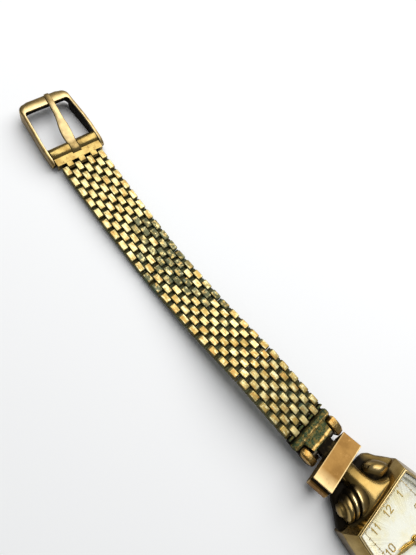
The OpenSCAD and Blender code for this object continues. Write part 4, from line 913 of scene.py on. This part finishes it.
# Stations of the two cheeks: y, x0, x1, z0, z1 and the corner radius
LEFT_CHEEK = [
    (-1.1, -3.55, -2.85, -0.45, 0.35, 0.2), (-0.85, -3.8, -2.65, -0.8, 0.75, 0.3),
    (-0.3, -3.95, -2.55, -0.9, 1.05, 0.42), (0.4, -3.98, -2.5, -0.9, 1.16, 0.5),
    (1.1, -3.98, -2.5, -0.9, 1.08, 0.5), (1.6, -3.9, -2.55, -0.85, 0.8, 0.42),
    (1.9, -3.75, -2.7, -0.7, 0.45, 0.3), (2.05, -3.5, -2.95, -0.45, 0.15, 0.15)]
RIGHT_CHEEK = [
    (-1.1, 2.75, 3.5, -0.45, 0.4, 0.12), (-0.8, 2.6, 3.75, -0.8, 0.8, 0.18),
    (-0.2, 2.55, 3.9, -0.9, 1.08, 0.2), (0.6, 2.5, 3.97, -0.9, 1.15, 0.2),
    (1.4, 2.5, 3.98, -0.9, 1.12, 0.2), (1.85, 2.55, 3.95, -0.85, 1.0, 0.18),
    (2.05, 2.7, 3.85, -0.6, 0.7, 0.12)]


def cheek(b, stations, dark_y):
    """Rounded block along Y, darkened with painted shade low down and towards the case from dark_y.
    """
    def wear_and_light(p):
        low = 1 - smooth((p[2] - 0.22) / 0.6)
        tail = smooth((dark_y - p[1]) / 0.7)
        return (0.2, 0.0, min(1, max(low * 0.95, tail * 0.8)))
    rings = []
    for y, x0, x1, z0, z1, r in stations:
        cx = (x0 + x1) / 2
        rings.append([(cx + px, y, pz) for px, pz in rounded((x1 - x0) / 2, z0, z1, r)])
    b.ring_loft(rings, wear_and_light)


def link_plate(b):
    """Crusted plate with two ribs, reaching in between the cheeks."""
    plate, across, down = [], 40, 18
    for i in range(across + 1):
        x = -LINK_W + 2 * LINK_W * i / across
        # into is 1 between the cheeks and 0 on either side
        into = smooth((2.45 - abs(x)) / 0.3)
        edge = smooth((LINK_W - abs(x)) / 0.3)
        y0 = 2.33 - 1.75 * into
        ring = []
        for k in range(down + 1):
            f = k / down
            y = y0 + (3.4 - y0) * f
            z = 0.80 - 0.28 * (1 - f) ** 6 * (1 - into) - 0.2 * f ** 8
            z += 0.36 * smooth((1.75 - y) / 1.0) * into
            wave_1, wave_2 = 0.05 * math.sin(x * 2.1), 0.06 * math.sin(x * 1.7 + 1)
            rib = max(0, 1 - abs((y + wave_1 - RIB_1) / 0.16)) * 0.16
            rib += max(0, 1 - abs((y + wave_2 - RIB_2) / 0.13)) * 0.1 * into
            rough = noise.noise(Vector((x * 1.9, y * 2.4, 3.1))) * 0.10
            fine = noise.noise(Vector((x * 6.0, y * 7.0, 8.2))) * 0.05
            ring.append((x, y, z + (rib + rough + fine) * edge - 0.25 * (1 - edge)))
        low = -0.82 + into * 0.5
        ring += [(x, 3.38, -0.6), (x, 3.2, -0.82), (x, 1.35 + 0.98 * (1 - into), low),
                 (x, 1.25 + 1.0 * (1 - into), -0.5 + 1.1 * into)]
        plate.append(ring)

    # Gold shows on the ribs; the underside is darkened as painted shade
    def crust(p):
        bare = max(0, 1 - abs((p[1] - RIB_1) / 0.6)) * 0.72 + max(0, 1 - abs((p[1] - 0.95) / 0.5))
        return (0.5, 1 - min(1, bare) * 0.75, 0.75 if p[2] < 0.1 else 0.12)
    b.ring_loft(plate, crust)


def end_link(name, h, mat):
    b = Build()
    link_plate(b)
    # Near-black plates under the link's sides: painted shade
    for s in (-1, 1):
        b.block((s * 2.5, s * 3.9), (1.6, 2.6), (-0.5, 0.02), (0.3, 0.6, 1))
    cheek(b, LEFT_CHEEK, -0.3)
    cheek(b, RIGHT_CHEEK, -0.2)
    # Near-black plates under the far end and beside the lug pin: painted shade
    b.block((-3.9, 3.9), (3.1, END_LEN), (-0.84, -0.74), (0.3, 0.3, 1))
    b.block((-2.7, -1.47), (-1.5, 1.9), (-1.0, -0.8), (0.3, 0.2, 0.8))
    b.block((1.47, 2.62), (-0.95, 1.9), (-1.0, -0.8), (0.3, 0.2, 0.8))
    for c in END_COLUMNS:
        brick(b, column(c), END_LEN - HALF - OVER, 0.4, 0.9, 0.9, END_LEN - 0.85)
    b.moved(place(h, 0))
    b.object(name + "_plate", mat, name, [name], 34)


# The buckle's frame and tang, measured from the buckle pin

BUCKLE = (12, 6)
PIN_Y = 3.18
# Place and width of the arms, and the heights of the far bar's top and of the frame's bottom
ARM_X, ARM_W = 4.42, 0.58
BAR_TOP, RING_LOW = 1.67, -1.18
# The corners' inner and outer arcs: centre, then radius across and along
INNER_ARC = (3.58, 7.91, 0.44, 0.44)
OUTER_ARC = (3.3, 8.95, 1.3, 1.25)


def on_pin():
    return place(*BUCKLE) @ move(0, PIN_Y, 0)


def buckle_ring(mat):
    """Frame swept from one arm's end round the far bar to the other's."""
    b = Build()
    top = [(-1.75, 0.2), (-1.55, 0.55), (-0.95, 0.95), (1, 1.17), (4, 1.62), (8.75, BAR_TOP)]
    low = [(-1.75, -0.55), (-1.5, -0.95), (-0.95, RING_LOW), (8.8, RING_LOW)]
    # Inner point, outer point, top, and the lower edge inside and outside
    half = []
    for y in (-1.75, -1.68, -1.5, -1.2, -0.95, 0, 1, 2, 3, 4, 5, 6, 7, 7.9):
        x = ARM_X - 0.4 * max(0, y - 2) / 5.85
        half.append(((x, y), (x + ARM_W, y), along(top, y), along(low, y), along(low, y)))
    for deg in (0, 15, 30, 45, 60, 75, 90):
        c, d = math.cos(math.radians(deg)), math.sin(math.radians(deg))
        inner, outer = ((x + across * c, y + length * d)
                        for x, y, across, length in (INNER_ARC, OUTER_ARC))
        k = deg / 90
        half.append((inner, outer, BAR_TOP, RING_LOW + 2.0 * smooth(k * 1.6), RING_LOW + 0.5 * k))
    for x in (2.7, 1.7, 0.7, 0):
        half.append(((x, 8.35), (x, 10.36), BAR_TOP, 0.87, -0.62))
    path = half + [((-a[0], a[1]), (-o[0], o[1]), t, i, z)
                   for a, o, t, i, z in reversed(half[:-1])]
    # The points of each ring: inner wall and bottom dark with grime and painted shade, inner top
    # edge rubbed with a painted highlight, outer wall tinted
    plain, dark, rubbed_and_lit, side = (0.1, 0, 0), (0, 0.3, 1.0), (0.85, 0, 0), (0, 0.25, 0.1)
    ring_light_and_wear = [dark] * 2 + [plain] + [rubbed_and_lit] * 2 + [plain] * 4 + [side] * 3 + [dark] * 2
    rings = []
    for a, o, t, zi, zo in path:
        a, o = Vector(a), Vector(o)
        width = (o - a).length
        # wide is 0 on the arms and 1 on the far bar
        wide = smooth((width - 0.7) / 1.2)
        ring = []
        for f, z in ((0, zi), (0, t - 0.16), (0, t - 0.1), (0.07 / width, t - 0.01),
                     (0.16 / width, t + 0.01), (0.5, t + 0.03 + 0.03 * wide),
                     (0.78, t - 0.02 - 0.05 * wide), (1 - 0.12 / width, t - 0.04 - 0.14 * wide),
                     (1, t - 0.14 - 0.32 * wide), (1 + 0.03 / width, (t + zo) / 2), (1, zo + 0.12),
                     (1 - 0.1 / width, zo), (0.76, zo), (0.7, zi)):
            p = a + (o - a) * f
            ring.append((p.x, p.y, z))
        rings.append(ring)
    b.ring_loft(rings, plain)
    b.w = ring_light_and_wear * len(rings)
    b.moved(on_pin())
    b.object("buckle_ring", mat, "buckle_frame", ["buckle_frame"], 40)


def tang_band(mat):
    """Bent strip from its tip on the far bar to its curl round the pin."""
    b = Build()
    t, curl_y = 0.24, -0.12
    path = [(10.2, 1.45), (10.08, 1.62), (9.7, 1.72), (8.6, 1.74), (7.6, 1.66), (6.6, 1.62),
            (5.6, 1.66), (4.6, 1.70), (3.6, 1.62), (2.8, 1.42), (2.0, 1.22), (1.3, 1.1),
            (0.7, 1.05)]
    curl_from = len(path) - 1
    path += [(curl_y + 1.08 * math.cos(math.radians(a)), 1.0 * math.sin(math.radians(a)))
             for a in range(80, 285, 15)]
    curl_to = len(path)
    path += [(0.6, -0.85), (0.9, -0.6)]
    # Half width and sideways bend at each y
    wide = [(-2, 0.77), (0.3, 0.77), (1.2, 0.9), (2.4, 0.97), (3.6, 0.86), (5, 0.62), (7, 0.56),
            (9.4, 0.52), (10.08, 0.46), (10.2, 0.38)]
    bend = [(-2, 0), (0.5, 0), (2.5, 0.1), (4.5, 0.36), (6.5, 0.72), (8.35, 0.88), (10.4, 1.0)]
    rings = []
    for i, (y, z) in enumerate(path):
        if i < curl_from:
            p, q = path[max(0, i - 1)], path[i + 1]
            ny, nz = p[1] - q[1], q[0] - p[0]
            if nz < 0:
                ny, nz = -ny, -nz
        elif i < curl_to:
            ny, nz = y - curl_y, z
        else:
            ny, nz = 0, -1
        size = math.hypot(ny, nz)
        ny, nz = ny / size, nz / size
        w, cx = along(wide, y), along(bend, y)
        rings.append([(cx + fx * w, y + ny * t * fz, z + nz * t * fz) for fx, fz in (
            (-1, -0.5), (-1, 0.45), (-0.93, 0.8), (-0.8, 0.98), (0, 1.1), (0.8, 0.98),
            (0.93, 0.8), (1, 0.45), (1, -0.5), (0.85, -0.95), (-0.85, -0.95))])
    # The underside and lower sides are dark with painted shade; below, the top is set plain, rubbed
    # in its middle
    b.ring_loft(rings, (0, 0.4, 0.85))
    n = len(rings[0])
    for k in range(len(b.w)):
        i = k % n
        if 1 <= i <= 7:
            b.w[k] = (0.45 if 2 <= i <= 6 and 3 < k // n < 13 else 0.1, 0, 0)
    b.moved(on_pin())
    b.object("tang_band", mat, "buckle_tang", ["buckle_tang"], 50)


# Looks of the material slots

METALS = {
    "case_gold": dict(bright=(0.56, 0.405, 0.145), dull=(0.335, 0.215, 0.062),
                      rough=(0.17, 0.28), cell=0.003, bump=9e-6, crease=0.0011, depth=0.5,
                      painted=True),
    "keeper_gold": dict(bright=(0.31, 0.172, 0.05), dull=(0.26, 0.138, 0.038),
                        grime_and_shade=(0.012, 0.007, 0.002), rough=(0.54, 0.62), cell=0.0010,
                        crease=0.0003, depth=0.35, spots=(0.42, 0.24, 0.08), painted=True),
    "buckle_gold": dict(bright=(0.345, 0.242, 0.084), dull=(0.165, 0.100, 0.028),
                        rough=(0.22, 0.44), cell=0.0008, brush=((1, 9, 1), 0.15),
                        crease=0.0006, depth=0.45, spots=(0.15, 0.088, 0.026), painted=True,
                        rub_and_highlight=(0.82, 0.64, 0.34), tint_and_shade=(0.30, 0.22, 0.10)),
    "bright_gold": dict(bright=(0.43, 0.315, 0.108), dull=(0.29, 0.185, 0.053),
                        rough=(0.22, 0.36), cell=0.0008, crease=0.0010, depth=0.56,
                        spots=(0.17, 0.095, 0.028)),
    "back_gold": dict(bright=(0.60, 0.48, 0.26), dull=(0.42, 0.33, 0.17), rough=(0.28, 0.45),
                      cell=0.003, brush=((1, 12, 1), 0.0)),
    "hands": dict(bright=(0.80, 0.60, 0.22), dull=(0.62, 0.42, 0.13), rough=(0.15, 0.3),
                  cell=0.0008, crease=0.0002),
    "print": dict(bright=(0.58, 0.41, 0.12), dull=(0.30, 0.19, 0.055), rough=(0.3, 0.5),
                  cell=0.0006, crease=0.0001),
    "steel": dict(bright=(0.62, 0.63, 0.65), dull=(0.46, 0.46, 0.48),
                  grime_and_shade=(0.03, 0.028, 0.025), rough=(0.16, 0.34), cell=0.0008,
                  brush=((1, 16, 1), 0.4), crease=0.0002),
    "movement": dict(bright=(0.76, 0.62, 0.34), dull=(0.60, 0.46, 0.22), rough=(0.22, 0.38),
                     cell=0.0012, brush=((1, 14, 1), 0.785), crease=0.0003),
    "blue_steel": dict(bright=(0.10, 0.16, 0.42), dull=(0.16, 0.12, 0.34), rough=(0.15, 0.3),
                       cell=0.0005, crease=0.0001),
}
MATS = {"strap_gold": brick_metal("strap_gold"), "link_gold": corroded("link_gold"),
        "crystal": glass(), "dial": dial_paint(), "jewel": ruby()}
for slot, look in METALS.items():
    MATS[slot] = metal(slot, **look)
PIN_MAT = metal("lug_pin", (0.10, 0.085, 0.06), (0.05, 0.04, 0.025), rough=(0.4, 0.6),
                cell=0.0005, crease=0.0003)


# The CAD nodes: a material each, and softened edges on those whose edges show

SOFT_EDGES = {0.0001: ("buckle_plate", "strap_tip"),
              0.00004: ("crown", "case_back", "barrel_bridge", "train_bridge", "balance_cock",
                        "main_plate")}


def soften(o, width):
    w = o.modifiers.new("weld", "WELD")
    w.merge_threshold = 2e-7
    bevel_edges(o, width, 35)


for part in frame["record"]["subparts"]:
    o = NODES[part["node"]]
    o.data.materials.clear()
    o.data.materials.append(MATS[part["material_slot"]])
NODES["lug_pins"].data.materials[0] = PIN_MAT
for width, names in SOFT_EDGES.items():
    for n in names:
        soften(NODES[n], width)


# The new pieces

for i in range(1, 6):
    section(f"strap_{i}", 12, i, MATS["strap_gold"])
    section(f"strap_{i + 5}", 6, i, MATS["strap_gold"])
case_piece(MATS["case_gold"])
crystal_dome(MATS["crystal"])
dial_flange(MATS["dial"])
keeper_piece(MATS["keeper_gold"])
buckle_ring(MATS["buckle_gold"])
tang_band(MATS["buckle_gold"])
end_link("end_link_12", 12, MATS["link_gold"])
end_link("end_link_6", 6, MATS["link_gold"])

make_camera()
make_world()
make_floor()
make_lamp()
scene.view_settings.view_transform = "Standard"
